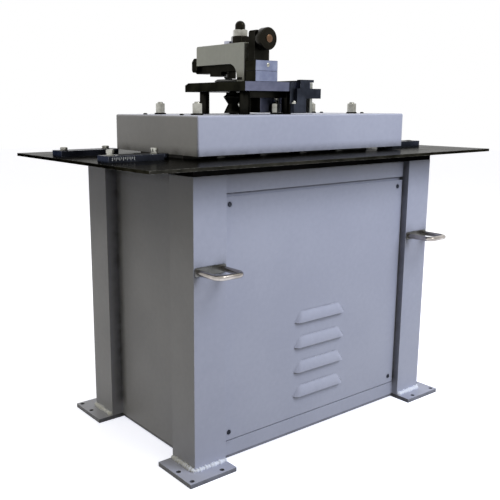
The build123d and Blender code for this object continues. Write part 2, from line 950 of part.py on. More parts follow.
def belt_loop(extra):
    """The outline round both pulleys, the given distance outside their faces."""
    with BuildSketch(Plane.XZ.offset(-belt_front), mode=Mode.PRIVATE) as loop:
        with Locations((drive_x, drive_axis)):
            Circle(driven_radius + extra)
        with Locations((drive_x, output_height)):
            Circle(motor_pulley_radius + extra)
        make_hull()
    return loop.sketch


with BuildPart() as drive_belt:
    extrude(belt_loop(loose_gap + belt_thickness), amount=belt_front - belt_back)
    extrude(belt_loop(loose_gap), amount=belt_front - belt_back, mode=Mode.SUBTRACT)
save(drive_belt, "drive_belt")

reducer_left = drive_x - reducer_width / 2
motor_axis = shelf_top + motor_rise
reducer_right = drive_x + reducer_width / 2
motor_y = (reducer_front + reducer_back) / 2
motor_end = reducer_left - motor_length
with BuildPart() as gear_motor:
    block((reducer_left, reducer_right), (reducer_front, reducer_back), (shelf_top, shelf_top + reducer_height))
    chamfer(gear_motor.edges().filter_by(Axis.Y), length=reducer_chamfer)
    block(
        (reducer_left - motor_foot_reach, reducer_right + motor_foot_reach),
        (reducer_front, reducer_back),
        (shelf_top, shelf_top + motor_foot),
    )
    round_x([(motor_y, motor_axis)], motor_radius, (motor_end, reducer_left))
    round_x([(motor_y, motor_axis)], motor_cap_radius, (motor_end - motor_cap, motor_end))
    round_y(
        [(drive_x, output_height)],
        drive_shaft_radius + running_gap,
        (reducer_back - output_socket, reducer_back),
        Mode.SUBTRACT,
    )
save(gear_motor, "gear_motor")

with BuildPart() as motor_shelf:
    with BuildSketch(Plane.YZ.offset(-leg_inner_x)):
        with BuildLine():
            Polyline(
                (-shelf_half, shelf_top),
                (shelf_half, shelf_top),
                (shelf_half, shelf_top - shelf_lip),
                (shelf_half - shelf_thickness, shelf_top - shelf_lip),
                (shelf_half - shelf_thickness, shelf_top - shelf_thickness),
                (shelf_thickness - shelf_half, shelf_top - shelf_thickness),
                (shelf_thickness - shelf_half, shelf_top - shelf_lip),
                (-shelf_half, shelf_top - shelf_lip),
                close=True,
            )
        make_face()
    extrude(amount=2 * leg_inner_x)
save(motor_shelf, "motor_shelf")

# Folded cover over the roll head, open below
with BuildPart() as cover:
    block((cover_left, cover_right), (-cover_half_depth, cover_half_depth), (cover_bottom, cover_top))
    upper_edges = cover.edges().group_by(Axis.Z)[-1] + cover.edges().filter_by(Axis.Z)
    fillet(upper_edges, radius=cover_fold)
    offset(amount=-sheet, openings=cover.faces().sort_by(Axis.Z)[0])
    round_z(pressure_bolts_at, pressure_bolt_radius + hole_gap, (cover_inside, cover_top), Mode.SUBTRACT)
    round_z(posts_at, post_radius + hole_gap, (cover_inside, cover_top), Mode.SUBTRACT)
    round_z([spindle_at], spindle_radius + 2 * hole_gap, (cover_inside, cover_top), Mode.SUBTRACT)
    round_z(cover_screws_at, cover_screw_radius + loose_gap, (cover_inside, cover_top), Mode.SUBTRACT)
save(cover, "cover")

with BuildPart() as cover_screws:
    round_z(cover_screws_at, cover_screw_radius, (screw_bottom, cover_top))
    round_z(cover_screws_at, cover_screw_head_radius, (cover_top, cover_top + cover_screw_head))
save(cover_screws, "cover_screws")


# Guides clamped to the table
def guide_bar(name, left, length, edge, height, seat, bolts, slot_travel, recess=0):
    """A bar with a rounded inner end. Its bolt holes are slots across the bar where it can slide."""
    hole = guide_bolt_radius + loose_gap
    with BuildPart() as piece:
        with BuildSketch(Plane.XY.offset(seat)) as outline:
            with Locations((left + length / 2, edge + guide_width / 2)):
                Rectangle(length, guide_width)
            inner_end = outline.vertices().sort_by(lambda corner: abs(corner.X))[:2]
            fillet(inner_end, radius=guide_nose)
        extrude(amount=height)
        with BuildSketch(Plane.XY.offset(seat)):
            with Locations(*bolts):
                if slot_travel:
                    SlotCenterToCenter(2 * slot_travel, 2 * hole, rotation=90)
                else:
                    Circle(hole)
        extrude(amount=height, mode=Mode.SUBTRACT)
        if recess:
            round_z(bolts, guide_washer_radius + hole_gap, (seat + height - recess, seat + height), Mode.SUBTRACT)
    save(piece, name)


guide_bar(
    "front_guide", guide_left, guide_length, front_guide_edge, guide_height, guide_seat, front_bolts_at,
    guide_travel,
)
guide_bar(
    "rear_guide", guide_left, guide_length, rear_guide_edge, guide_height, guide_seat, rear_bolts_at,
    guide_travel,
)
guide_bar(
    "exit_guide", exit_guide_left, exit_guide_length, front_guide_edge, exit_guide_height, table_top,
    exit_bolts_at, 0, exit_guide_height + table_top - washer_seat,
)

with BuildPart() as guide_bolts:
    hexagon_top = washer_seat + guide_washer + guide_bolt_head
    round_z(all_guide_bolts, guide_bolt_radius, (bed_top, washer_seat))
    round_z(all_guide_bolts, guide_washer_radius, (washer_seat, washer_seat + guide_washer))
    crowned_nuts(all_guide_bolts, guide_bolt_flats, (washer_seat + guide_washer, hexagon_top))
save(guide_bolts, "guide_bolts")

# Flanging attachment: carrier, posts and plate
spindle_bore = spindle_radius + running_gap
nut_clearance = pressure_nut_flats / sqrt(3) + hole_gap
with BuildPart() as bridge_plate:
    block(
        (flanger_x - bridge_left, right_posts_x + bridge_right),
        (-bridge_half_depth, bridge_half_depth),
        (upper_head_top, bridge_top),
    )
    round_z(
        [(middle_bolt_x, -bolt_row), (middle_bolt_x, bolt_row)],
        nut_clearance,
        (upper_head_top, bridge_top),
        Mode.SUBTRACT,
    )
    round_z([spindle_at], spindle_bore, (upper_head_top, bridge_top), Mode.SUBTRACT)
save(bridge_plate, "bridge_plate")

with BuildPart() as flanger_posts:
    round_z(posts_at, post_radius, (bridge_top, flanger_bottom))
    block(
        (left_posts_x, right_posts_x),
        (-post_row - post_tie_depth / 2, post_tie_depth / 2 - post_row),
        (flanger_bottom - post_tie_height, flanger_bottom),
    )
save(flanger_posts, "flanger_posts")

# Plate with a bearing block under it
boss_front = boss_gap - bolt_row
with BuildPart() as flanger_plate:
    with BuildSketch(Plane.YZ.offset(flanger_x - flanger_left)):
        with BuildLine():
            Polyline(
                (riser_front, flanger_bottom),
                (riser_front, flanger_top),
                (flanger_back - flanger_bevel, flanger_top),
                (flanger_back, flanger_top - flanger_bevel_drop),
                (flanger_back, flanger_bottom),
                close=True,
            )
        make_face()
    extrude(amount=flanger_end - flanger_x + flanger_left)
    block(
        (middle_bolt_x - boss_left, middle_bolt_x + boss_right),
        (boss_front, boss_front + boss_depth),
        (cover_top + boss_rise, flanger_bottom),
    )
    round_z([spindle_at], spindle_bore, (flanger_bottom, flanger_top), Mode.SUBTRACT)
save(flanger_plate, "flanger_plate")

# C-shaped arm, grooved for the lever, with a pocket low in its left side
pocket_bottom = flanger_top + arm_pocket_rise
groove_top = lever_top + groove_play
with BuildPart() as flanger_arm:
    with BuildSketch(Plane.YZ.offset(arm_left)) as arm_side:
        with BuildLine():
            Polyline(
                (arm_leg_back, arm_under - throat_round),
                (arm_leg_back, flanger_top),
                (arm_front, flanger_top),
                (arm_front, arm_top),
                (arm_back, arm_top),
                (arm_back, arm_under),
                (arm_leg_back + throat_round, arm_under),
            )
            RadiusArc(
                (arm_leg_back + throat_round, arm_under), (arm_leg_back, arm_under - throat_round), -throat_round
            )
        make_face()
        fillet(arm_side.vertices().group_by(Axis.Y)[-1], radius=arm_corner)
    extrude(amount=arm_right - arm_left)
    block(
        (flanger_x - cheek_inner, flanger_x + cheek_inner),
        (lever_front - groove_end_gap, arm_back),
        (arm_under - throat_round, groove_top),
        Mode.SUBTRACT,
    )
    block(
        (arm_left, arm_left + arm_pocket_depth),
        (arm_leg_back - arm_pocket_reach, arm_leg_back),
        (pocket_bottom, pocket_bottom + arm_pocket_height),
        Mode.SUBTRACT,
    )
    round_z(
        [(flanger_x, lever_screw_y)], lever_screw_radius + running_gap, (groove_top, arm_top), Mode.SUBTRACT
    )
    round_z(
        [(flanger_x, clamp_y)], clamp_stud_radius + fixed_gap, (arm_top - clamp_stud_depth, arm_top),
        Mode.SUBTRACT,
    )
save(flanger_arm, "flanger_arm")

# Clamp bolt on the arm: hexagon base, nut and domed cap
clamp_base_top = arm_top + clamp_base_height
clamp_nut_top = clamp_base_top + clamp_nut_height
with BuildPart() as arm_clamp_bolt:
    crowned_nuts([(flanger_x, clamp_y)], clamp_base_flats, (arm_top, clamp_base_top))
    with BuildSketch(Plane.XZ.offset(-clamp_y)):
        with BuildLine():
            Polyline(
                (flanger_x, clamp_nut_top + clamp_cap_height),
                (flanger_x, arm_top - clamp_stud_depth),
                (flanger_x + clamp_stud_radius, arm_top - clamp_stud_depth),
                (flanger_x + clamp_stud_radius, clamp_nut_top),
                (flanger_x + clamp_cap_radius, clamp_nut_top),
                (flanger_x + clamp_cap_radius, clamp_nut_top + clamp_cap_side),
            )
            TangentArc(
                (flanger_x, clamp_nut_top + clamp_cap_height),
                (flanger_x + clamp_cap_radius, clamp_nut_top + clamp_cap_side),
                tangent=(1, 0),
            )
        make_face()
    revolve(axis=Axis((flanger_x, clamp_y, 0), (0, 0, 1)))
save(arm_clamp_bolt, "arm_clamp_bolt")

with BuildPart() as arm_clamp_nut:
    crowned_nuts([(flanger_x, clamp_y)], clamp_nut_flats, (clamp_base_top, clamp_nut_top))
    round_z(
        [(flanger_x, clamp_y)], clamp_stud_radius + fixed_gap, (clamp_base_top, clamp_nut_top), Mode.SUBTRACT
    )
save(arm_clamp_nut, "arm_clamp_nut")

# Lever in the arm's groove, its bracket, its screw and the pressing roll
screw_head_bottom = arm_top + slide_gap
with BuildPart() as lever_screw:
    round_z(
        [(flanger_x, lever_screw_y)], lever_screw_radius, (lever_top + lever_screw_gap, screw_head_bottom)
    )
    round_z(
        [(flanger_x, lever_screw_y)],
        lever_screw_head_radius,
        (screw_head_bottom, screw_head_bottom + lever_screw_head),
    )
save(lever_screw, "lever_screw")

bracket_top = arm_top - bracket_drop
with BuildPart() as lever_bracket:
    for x_ends in (
        (arm_left, flanger_x - cheek_inner),
        (flanger_x + cheek_inner, arm_right),
    ):
        block(x_ends, (arm_back, arm_back + bracket_depth), (lever_bottom + bracket_lift, bracket_top))
    long_edges = lever_bracket.edges().filter_by(Axis.X)
    fillet(long_edges.group_by(Axis.Z)[0], radius=bracket_round)
    top_edges = lever_bracket.edges().filter_by(Axis.X).group_by(Axis.Z)[-1]
    chamfer(top_edges.group_by(Axis.Y)[-1], length=bracket_chamfer)
    block(
        (arm_left, arm_right),
        (arm_back, arm_back + bracket_web),
        (arm_under + bracket_web_rise, bracket_top),
    )
    round_x([(lever_pivot_y, lever_pivot_z)], lever_pin_radius, (arm_left, arm_right))
save(lever_bracket, "lever_bracket")

axle_front = pressing_roll_front - slide_gap
with BuildPart() as roll_lever:
    block((lever_left, lever_right), (lever_front, lever_pivot_y), (lever_nose_bottom, lever_top))
    block((lever_left, lever_right), (lever_block_front, lever_pivot_y), (lever_bottom, lever_nose_bottom))
    block((lever_left, lever_right), (lever_block_front, lever_block_back), (lever_block_bottom, lever_bottom))
    round_x([(lever_pivot_y, lever_pivot_z)], lever_height / 2, (lever_left, lever_right))
    round_x(
        [(lever_pivot_y, lever_pivot_z)],
        lever_pin_radius + running_gap,
        (lever_left, lever_right),
        Mode.SUBTRACT,
    )
    round_y([(flanger_x, pressing_roll_axis)], pressing_axle_radius, (axle_front, lever_block_front))
    block(
        (flanger_x - fork_half_width, flanger_x + fork_half_width),
        (axle_front - fork_thickness, axle_front),
        (disc_top + fork_rise, lever_nose_bottom),
    )
save(roll_lever, "roll_lever")

pressing_roll_ends = (pressing_roll_front, pressing_roll_back)
with BuildPart() as pressing_roll:
    round_y([(flanger_x, pressing_roll_axis)], pressing_roll_radius, pressing_roll_ends)
    round_y(
        [(flanger_x, pressing_roll_axis)],
        pressing_axle_radius + running_gap,
        pressing_roll_ends,
        Mode.SUBTRACT,
    )
save(pressing_roll, "pressing_roll")

# Upright spindle with its bevel gear and hourglass roll, and the disc on top
spindle_bottom = upper_axis + bevel_radius - bevel_face
spool_bottom = cover_top + spool_gap
spool_rim_bottom = spool_bottom + spool_rim_rise
spool_rim_top = spool_rim_bottom + spool_rim
with BuildPart() as flanger_spindle:
    with BuildSketch(Plane.XZ.offset(-spindle_y)):
        with BuildLine():
            Polyline(
                (flanger_x, spindle_bottom),
                (flanger_x + spindle_radius, spindle_bottom),
                (flanger_x + spindle_radius, spool_bottom),
                (flanger_x + spool_foot_radius, spool_bottom),
                (flanger_x + spool_foot_radius, spool_bottom + spool_rim),
                (flanger_x + spool_waist, spool_bottom + spool_waist_rise),
                (flanger_x + spool_radius, spool_rim_bottom),
                (flanger_x + spool_radius, spool_rim_top),
                (flanger_x + spool_collar_radius, spool_rim_top + spool_collar_rise),
                (flanger_x + spool_collar_radius, flanger_bottom - spool_collar_gap),
                (flanger_x + spindle_radius, flanger_bottom - spool_collar_gap),
                (flanger_x + spindle_radius, disc_top),
                (flanger_x, disc_top),
                close=True,
            )
        make_face()
    revolve(axis=Axis((flanger_x, spindle_y, 0), (0, 0, 1)))
    spindle_back = Plane(
        origin=(flanger_x, spindle_y, upper_axis + bevel_radius), x_dir=(1, 0, 0), z_dir=(0, 0, -1)
    )
    bevel_gear(spindle_back, 90 + 180 / bevel_teeth)
save(flanger_spindle, "flanger_spindle")

with BuildPart() as flanging_disc:
    with BuildSketch(Plane.XZ.offset(-spindle_y)):
        with BuildLine():
            Polyline(
                (flanger_x + spindle_radius + fixed_gap, disc_bottom),
                (flanger_x + disc_radius, disc_bottom),
                (flanger_x + disc_radius, disc_bottom + disc_edge),
                (flanger_x + disc_top_radius, disc_top),
                (flanger_x + spindle_radius + fixed_gap, disc_top),
                close=True,
            )
        make_face()
    revolve(axis=Axis((flanger_x, spindle_y, 0), (0, 0, 1)))
save(flanging_disc, "flanging_disc")


# Stacked blocks, knob bracket and knob
def riser(name, z_ends):
    """One of the two stacked blocks in front of the arm."""
    with BuildPart() as piece:
        block((flanger_x - riser_left, flanger_x + riser_right), (riser_front, riser_back), z_ends)
        chamfer(piece.edges().filter_by(Axis.Z), length=riser_chamfer)
    save(piece, name)


riser("riser_block", (flanger_top, riser_split))
riser("riser_cap", (riser_split, riser_top))

knob_z = riser_top + knob_rise
knob_bracket_left = flanger_x - riser_left
with BuildPart() as knob_bracket:
    with BuildSketch(Plane.XZ.offset(-knob_bracket_back)) as bracket_face:
        with Locations((knob_bracket_left + knob_bracket_width / 2, riser_top + knob_bracket_height / 2)):
            Rectangle(knob_bracket_width, knob_bracket_height)
        fillet(bracket_face.vertices().group_by(Axis.Y)[-1], radius=knob_bracket_corner)
        with Locations((flanger_x, knob_z)):
            Circle(knob_stem_radius + running_gap, mode=Mode.SUBTRACT)
    extrude(amount=knob_bracket_back - knob_bracket_front)
save(knob_bracket, "knob_bracket")

knob_back = knob_bracket_front - knob_seat
knob_front = knob_back - knob_length
with BuildPart() as adjusting_knob:
    with BuildSketch(Plane.YZ.offset(flanger_x)):
        with BuildLine():
            Polyline(
                (knob_bracket_back, knob_z),
                (knob_bracket_back, knob_z + knob_stem_radius),
                (knob_back, knob_z + knob_stem_radius),
                (knob_back, knob_z + knob_radius),
                (knob_front + knob_chamfer, knob_z + knob_radius),
                (knob_front, knob_z + knob_radius - knob_chamfer),
                (knob_front, knob_z + knob_boss_radius),
                (knob_front - knob_boss, knob_z + knob_boss_radius),
                (knob_front - knob_boss, knob_z),
                close=True,
            )
        make_face()
    revolve(axis=Axis((flanger_x, 0, knob_z), (0, 1, 0)))
save(adjusting_knob, "adjusting_knob")

# Side bracket of the attachment, and the gauge in front of it with its fence along the plate's end
gauge_bottom = cover_top + gauge_bracket_gap
with BuildPart() as gauge_bracket:
    block(
        (flanger_end, flanger_end + gauge_bracket_width),
        (riser_front, riser_front + gauge_bracket_depth),
        (gauge_bottom, flanger_top),
    )
    chamfer(gauge_bracket.edges().filter_by(Axis.X).group_by(Axis.Z)[-1], length=riser_chamfer)
save(gauge_bracket, "gauge_bracket")

gauge_bar_top = flanger_bottom + gauge_bar_rise
gauge_bar_middle = flanger_end - gauge_bar_overlap + gauge_bar_length / 2
gauge_tab_top = flanger_top + gauge_tab_rise
gauge_front = riser_front - gauge_bar_depth
with BuildPart() as gauge_bar:
    with BuildSketch(Plane.XZ.offset(-riser_front)):
        with Locations((gauge_bar_middle, gauge_bar_top - gauge_bar_height / 2)):
            RectangleRounded(gauge_bar_length, gauge_bar_height, gauge_bar_round)
    extrude(amount=gauge_bar_depth)
    block(
        (flanger_end - gauge_tab_width, flanger_end),
        (gauge_front, riser_front),
        (gauge_bar_top - gauge_bar_round, gauge_tab_top),
    )
    block(
        (flanger_end - gauge_neck_left, flanger_end - gauge_foot_right),
        (gauge_front, riser_front),
        (gauge_bottom, gauge_bar_top - gauge_bar_round),
    )
    block(
        (flanger_end - gauge_foot_left, flanger_end - gauge_foot_right),
        (gauge_front, riser_front),
        (gauge_bottom, gauge_bottom + gauge_foot_height),
    )
    block(
        (flanger_end - gauge_fence_width, flanger_end),
        (riser_front, gauge_fence_back),
        (flanger_top, gauge_tab_top),
    )
save(gauge_bar, "gauge_bar")

# Switch box with a start and a stop button
switch_face = side_face + switch_depth
switch_middle = switch_front + switch_width / 2
switch_top = frame_height - switch_drop
switch_bottom = switch_top - switch_height
start_height = switch_top - start_drop
stop_height = switch_top - stop_drop
buttons_at = [(switch_middle, start_height), (switch_middle, stop_height)]
with BuildPart() as switch_box:
    block((side_face, switch_face), (switch_front, switch_front + switch_width), (switch_bottom, switch_top))
    fillet(switch_box.edges().filter_by(Axis.X), radius=switch_corner)
    offset(amount=-switch_wall, openings=switch_box.faces().sort_by(Axis.X)[0])
    round_x(buttons_at, button_stem + running_gap, (switch_face - switch_wall, switch_face), Mode.SUBTRACT)
    round_z(
        [(side_face + switch_depth / 2, switch_middle)],
        gland_radius,
        (switch_bottom - gland_length, switch_bottom),
    )
save(switch_box, "switch_box")


def button(name, height, head_radius):
    """A push button whose head stands clear of the box by its travel."""
    head_back = switch_face + button_travel + loose_gap
    with BuildPart() as piece:
        round_x([(switch_middle, height)], button_stem, (head_back - button_stem_length, head_back))
        round_x([(switch_middle, height)], head_radius, (head_back, head_back + button_head))
        chamfer(piece.edges().group_by(Axis.X)[-1], length=button_chamfer)
    save(piece, name)


button("start_button", start_height, start_radius)
button("stop_button", stop_height, stop_radius)
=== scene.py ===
# Looks of the seam rolling machine: finishes, small fittings, studio light and the camera. Metres.
import json
import math
import random

import bmesh
import bpy
from mathutils import Matrix, Vector


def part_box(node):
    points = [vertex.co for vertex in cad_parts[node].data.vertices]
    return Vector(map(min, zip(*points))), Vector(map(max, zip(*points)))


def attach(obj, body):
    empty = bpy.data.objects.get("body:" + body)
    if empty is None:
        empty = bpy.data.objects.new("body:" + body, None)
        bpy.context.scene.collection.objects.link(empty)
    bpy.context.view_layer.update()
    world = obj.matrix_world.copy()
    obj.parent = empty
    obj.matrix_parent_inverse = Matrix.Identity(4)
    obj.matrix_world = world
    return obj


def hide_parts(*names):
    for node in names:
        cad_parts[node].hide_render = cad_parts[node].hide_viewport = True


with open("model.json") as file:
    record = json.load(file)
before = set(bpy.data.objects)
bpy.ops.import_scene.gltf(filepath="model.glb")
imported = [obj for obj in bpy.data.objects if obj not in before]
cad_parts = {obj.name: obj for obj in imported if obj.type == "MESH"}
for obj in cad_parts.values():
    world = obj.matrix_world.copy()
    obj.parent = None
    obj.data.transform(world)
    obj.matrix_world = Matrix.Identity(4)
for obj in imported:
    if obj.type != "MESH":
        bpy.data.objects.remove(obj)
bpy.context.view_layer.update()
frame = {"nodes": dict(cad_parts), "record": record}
nodes = frame["nodes"]
scene = bpy.context.scene

# Camera, fitted to the photograph
camera_place = (-1.4085, -1.5925, 0.9237)
camera_yaw = 37.51          # degrees from +Y towards +X
camera_pitch = 11.61        # degrees below the horizon
camera_lens = 50.85
camera_sensor = 36
camera_shift = 0.07

# Studio
ambient_colour = (1.0, 0.92, 0.62)
ambient_strength = 0.33
key_place = (0.8, -2.9, 2.45)
key_size = 2.6
key_power = 105
key_colour = (0.78, 0.85, 1.0)
fill_place = (-1.75, 0.5, 2.5)
fill_size = 1.2
fill_power = 12
fill_colour = (1.0, 0.94, 0.74)
top_place = (0.8, -2.1, 2.9)
top_size = 1.2
top_power = 25
back_place = (1.6, 2.6, 2.9)
back_size = 1.8
back_power = 40
white_light = (1, 1, 1)
aim = (0, 0, 0.6)
floor_radius = 14
floor_sides = 64
floor_white = 0.8
floor_roughness = 0.9
floor_bounce = (0.13, 0.125, 0.11)
floor_glow = (0.66, 0.68, 0.78)

# Grain of the finishes, in waves per metre
cloud_grain = 3.2
mottle_grain = 75
shade_and_dirt_grain = 30
chip_grain = 70
gloss_grain = 9
peel_grain = 620
smudge_grain = 17
rub_grain = 90
tone_grain = 40
satin_grain = 60
mould_grain = 1800

# Stretches of a noise, between 0 and 1, over which a tone or a mark sets in
usual_band = (0.3, 0.7)
cloud_band = (0.5, 1.0)
shade_and_dirt_band = (0.3, 0.75)
chip_band = (0.52, 0.62)
gloss_band = (0.25, 0.75)
streak_band = (0.45, 0.75)
rub_band = (0.38, 0.62)

# Stretches of other values: a normal's part along an axis, the cosine between two normals, and openness
facing_band = (0.6, 0.95)
edge_band = (0.995, 0.86)
hollow_band = (0.97, 0.58)
shade_samples = 4

# Wear, painted shade with some dirt, and gloss
chip_reach = 0.0016         # from a painted edge
rub_reach = 0.0012          # from a bare steel edge
corner_shade_start = 0.03           # height, above the welds, where painted shade with some dirt begins in the paint's corners
corner_shade_full = 0.07
shade_and_dirt_shares = (0.7, 0.95)
foot_fade = 0.001
mottle_share = 0.5
streak_share = 0.35
gloss_swing = (-0.05, 0.08)
steel_swing = 0.12
plastic_swing = 0.06
peel_strength = 0.12
peel_depth = 0.0004
streak_strength = 0.1
streak_depth = 0.0002
mould_strength = 0.15
mould_depth = 0.0002
paint_gloss = 0.2           # 0.5 would be that of a clear varnish

# Edges of the CAD pieces
edge_round = 0.0012
leg_round = 0.003
cover_round = 0.002
sheet_round = 0.0006        # thin sheets and the finely turned pieces
button_round = 0.0003       # so small that the pressed buttons stay clear of their box
edge_angle = 40             # degrees
flat_angle = 0.3            # degrees
same_point = 0.00001

# Screw heads: shares of the radius and height, and whether the socket's flats cut that ring
screw_outline = (
    (0.9, -0.2, False),
    (1, 0, False),
    (1, 0.3, False),
    (0.82, 0.78, False),
    (0.56, 1, False),
    (0.5, 1, True),
    (0.5, 0.35, True),
)
screw_radius = 0.006
screw_socket = 0.004        # across the flats
door_screw_height = 0.003

# Head fasteners
bolt_stations = (-0.311, -0.037, 0.278)
bolt_row = 0.087
washer_radius = 0.016
washer_bore = 0.0085
washer_height = 0.004
washer_bevel = 0.0008
stud_radius = 0.0078
stud_root = 0.001           # by which the stud starts inside the nut
stud_bevel = 0.0006
stud_tip = 0.72             # share of the radius
thread_depth = 0.0007
thread_pitch = 0.0022
thread_crest = 0.35         # share of the pitch
thread_groove = 0.85        # share of the pitch
short_stud = 0.004          # over the nuts at both ends
long_stud = 0.013           # over the middle nuts

# Guides
guide_bolt_inset = 0.020    # from the outer end
guide_nose_inset = 0.036    # from the inner end
guide_bolt_seat = 0.8064    # height of the bolts' lower faces
tall_head = (0.005, 0.009)  # collar and head of the front guide's bolts
low_head = (0.002, 0.006)   # and of the rear guide's
flange_radius = 0.011
flange_height = 0.0014
flange_slope = 0.0004
collar_radius = 0.0082
guide_head_flats = 0.017
guide_head_radius = 0.0104
guide_head_foot = (0.0009, 0.0008)      # bevel under the head, inwards and up
guide_head_shoulder = (0.0008, 0.0012)  # bevel on the head, inwards from the flats and down
guide_head_dish = (0.0026, 0.0004)      # hollow in the head, inwards from the flats and down
exit_head_radius = 0.0105
exit_head_height = 0.003
exit_socket = 0.008
tick_count = 13
tick_pitch = 0.005
tick_width = 0.0008
tick_lengths = (0.008, 0.005)
tick_start = 0.010          # from the guide's outer end
tick_drop = 0.003           # from the guide's upper face
tick_root = 0.0002          # by which the paint starts inside the guide
tick_proud = 0.00015

# Flanging attachment
knob_axis = (-0.126, 1.094)             # X and Z
knob_insert_radius = 0.010
knob_insert_height = 0.0012
knob_insert_root = 0.001
knob_insert_outline = ((1, 0.6), (0.9, 1), (0.35, 1), (0.28, 0.3))  # shares of radius and height
riser_screw_at = (-0.1105, 1.028)       # X and Z
riser_screw_radius = 0.0055
riser_screw_height = 0.0014
slot_low = (-0.1568, -0.0818, 0.9902)   # corners of the dark block in the arm's slot, painted shade
slot_high = (-0.1472, -0.0582, 0.9968)
slot_bevel = 0.001
gauge_nut_at = (-0.0198, -0.142, 0.927)
gauge_nut_flats = 0.013
gauge_nut_corner = 0.57     # share of the flats
gauge_nut_height = 0.004
gauge_dome = 0.005
gauge_dome_outline = ((0.47, 0.1), (0.42, 0.5), (0.3, 0.83), (0.12, 1))  # shares of flats and dome
gauge_neck = 0.021
shade_plate_thickness = 0.0025         # thickness of the dark plate behind the nut, painted shade
shade_plate_out = 0.004
gauge_lap = 0.0004          # by which the gauge's parts reach into each other
gauge_foot_top = 0.927
gauge_bar_left = -0.014
gauge_bar_low = 0.941
gauge_bar_high = 0.968
gauge_tab_left = -0.003
gauge_tab = 0.033
fence_left = 0.035
fence_right = 0.049
fence_low = 0.985

# Door
door_face = -0.240
door_sheet = 0.0015
door_top_gap = 0.0055       # more than the CAD door's own
door_side_gap = 0.002       # and at the sides and below
louvre_count = 4
louvre_bottom = 0.114
louvre_pitch = 0.0728
louvre_centre = 0.006
louvre_width = 0.197
louvre_rise = 0.030
louvre_depth = 0.012
louvre_end = 0.018          # over which an end rises to the full depth
louvre_taper = 0.022        # by which each end leans in at the top
louvre_columns = 56
louvre_rows = 12
louvre_margin = 0.001       # of flat sheet round a louvre
louvre_power = 0.8          # below 1 for a steeper start of the rise

# Cabinet
handle_plate_width = 0.096
handle_plate_height = 0.022
handle_plate_thickness = 0.0024
handle_plate_corner = 0.006
handle_plate_bevel = 0.0008
handle_plate_root = 0.0004  # by which the plate starts inside the leg
corner_steps = 4
handle_height = 0.530
leg_centre = (0.400, 0.210) # of one leg, which the others mirror
leg_half = 0.050
foot_top = 0.012
bead_radius = 0.0078
bead_out = 0.0026
bead_step = 0.002
bead_sides = 10
bead_lump = 0.009           # length of one lump
lump_sizes = (0.75, 1.2)
lump_neck = 0.72            # share of a lump's size where two lumps meet
bead_end = 0.45             # share of the size at a bead's ends
bead_growth = 0.2           # of that share with each step from the end


class Tree:
    """A material's node tree, with short calls for the nodes that the finishes share."""

    def __init__(self, name):
        self.material = bpy.data.materials.new(name)
        self.material.use_nodes = True
        self.nodes = self.material.node_tree.nodes
        self.links = self.material.node_tree.links
        self.shader = self.nodes["Principled BSDF"]
        self.coordinates = self.nodes.new("ShaderNodeTexCoord")
        self.place = self.coordinates.outputs["Object"]

    def set(self, node, name, value):
        """Give a socket a constant, or link another node's output to it."""
        if isinstance(value, bpy.types.NodeSocket):
            self.links.new(value, node.inputs[name])
        else:
            node.inputs[name].default_value = value

    def stretched(self, scale):
        """The object's coordinates, scaled along each axis."""
        mapping = self.nodes.new("ShaderNodeMapping")
        self.set(mapping, "Vector", self.place)
        self.set(mapping, "Scale", scale)
        return mapping.outputs["Vector"]

    def noise(self, scale, detail=4, roughness=0.55, place=None):
        """Cloudy noise between 0 and 1."""
        node = self.nodes.new("ShaderNodeTexNoise")
        self.set(node, "Vector", place or self.place)
        self.set(node, "Scale", scale)
        self.set(node, "Detail", detail)
        self.set(node, "Roughness", roughness)
        return node.outputs["Fac"]

    def band(self, value, low, high, start=0.0, end=1.0):
        """The value's stretch from low to high, spread smoothly from start to end."""
        node = self.nodes.new("ShaderNodeMapRange")
        node.interpolation_type = "SMOOTHSTEP"
        self.set(node, "Value", value)
        self.set(node, "From Min", low)
        self.set(node, "From Max", high)
        self.set(node, "To Min", start)
        self.set(node, "To Max", end)
        return node.outputs["Result"]

    def maths(self, operation, first, second):
        """One arithmetic step."""
        node = self.nodes.new("ShaderNodeMath")
        node.operation = operation
        self.set(node, 0, first)
        self.set(node, 1, second)
        return node.outputs["Value"]

    def times(self, first, second):
        """The product of two values."""
        return self.maths("MULTIPLY", first, second)

    def blend(self, share, first, second):
        """A colour between two."""
        node = self.nodes.new("ShaderNodeMix")
        node.data_type = "RGBA"
        self.set(node, 0, share)
        self.set(node, 6, first)
        self.set(node, 7, second)
        return node.outputs[2]

    def facing(self, axis, sign):
        """1 on faces that face along an axis of the machine, 0 on the others."""
        node = self.nodes.new("ShaderNodeSeparateXYZ")
        self.set(node, 0, self.coordinates.outputs["Normal"])
        start, full = facing_band
        return self.band(node.outputs[axis], sign * start, sign * full)

    def height(self):
        """Height in the piece's own frame."""
        node = self.nodes.new("ShaderNodeSeparateXYZ")
        self.set(node, 0, self.place)
        return node.outputs["Z"]

    def edges(self, radius):
        """About 1 on edges, within the radius, and 0 elsewhere."""
        rounded_normal = self.nodes.new("ShaderNodeBevel")
        rounded_normal.samples = shade_samples
        self.set(rounded_normal, "Radius", radius)
        flat_normal = self.nodes.new("ShaderNodeNewGeometry")
        node = self.nodes.new("ShaderNodeVectorMath")
        node.operation = "DOT_PRODUCT"
        self.set(node, 0, rounded_normal.outputs["Normal"])
        self.set(node, 1, flat_normal.outputs["Normal"])
        return self.band(node.outputs["Value"], *edge_band)

    def hollows(self, reach):
        """About 1 in inner corners and 0 in the open."""
        node = self.nodes.new("ShaderNodeAmbientOcclusion")
        node.samples = shade_samples
        self.set(node, "Distance", reach)
        return self.band(node.outputs["AO"], *hollow_band)

    def bump(self, value, strength, depth):
        """Small relief, in metres, on the shader's normal."""
        node = self.nodes.new("ShaderNodeBump")
        self.set(node, "Strength", strength)
        self.set(node, "Distance", depth)
        self.set(node, "Height", value)
        self.set(self.shader, "Normal", node.outputs["Normal"])


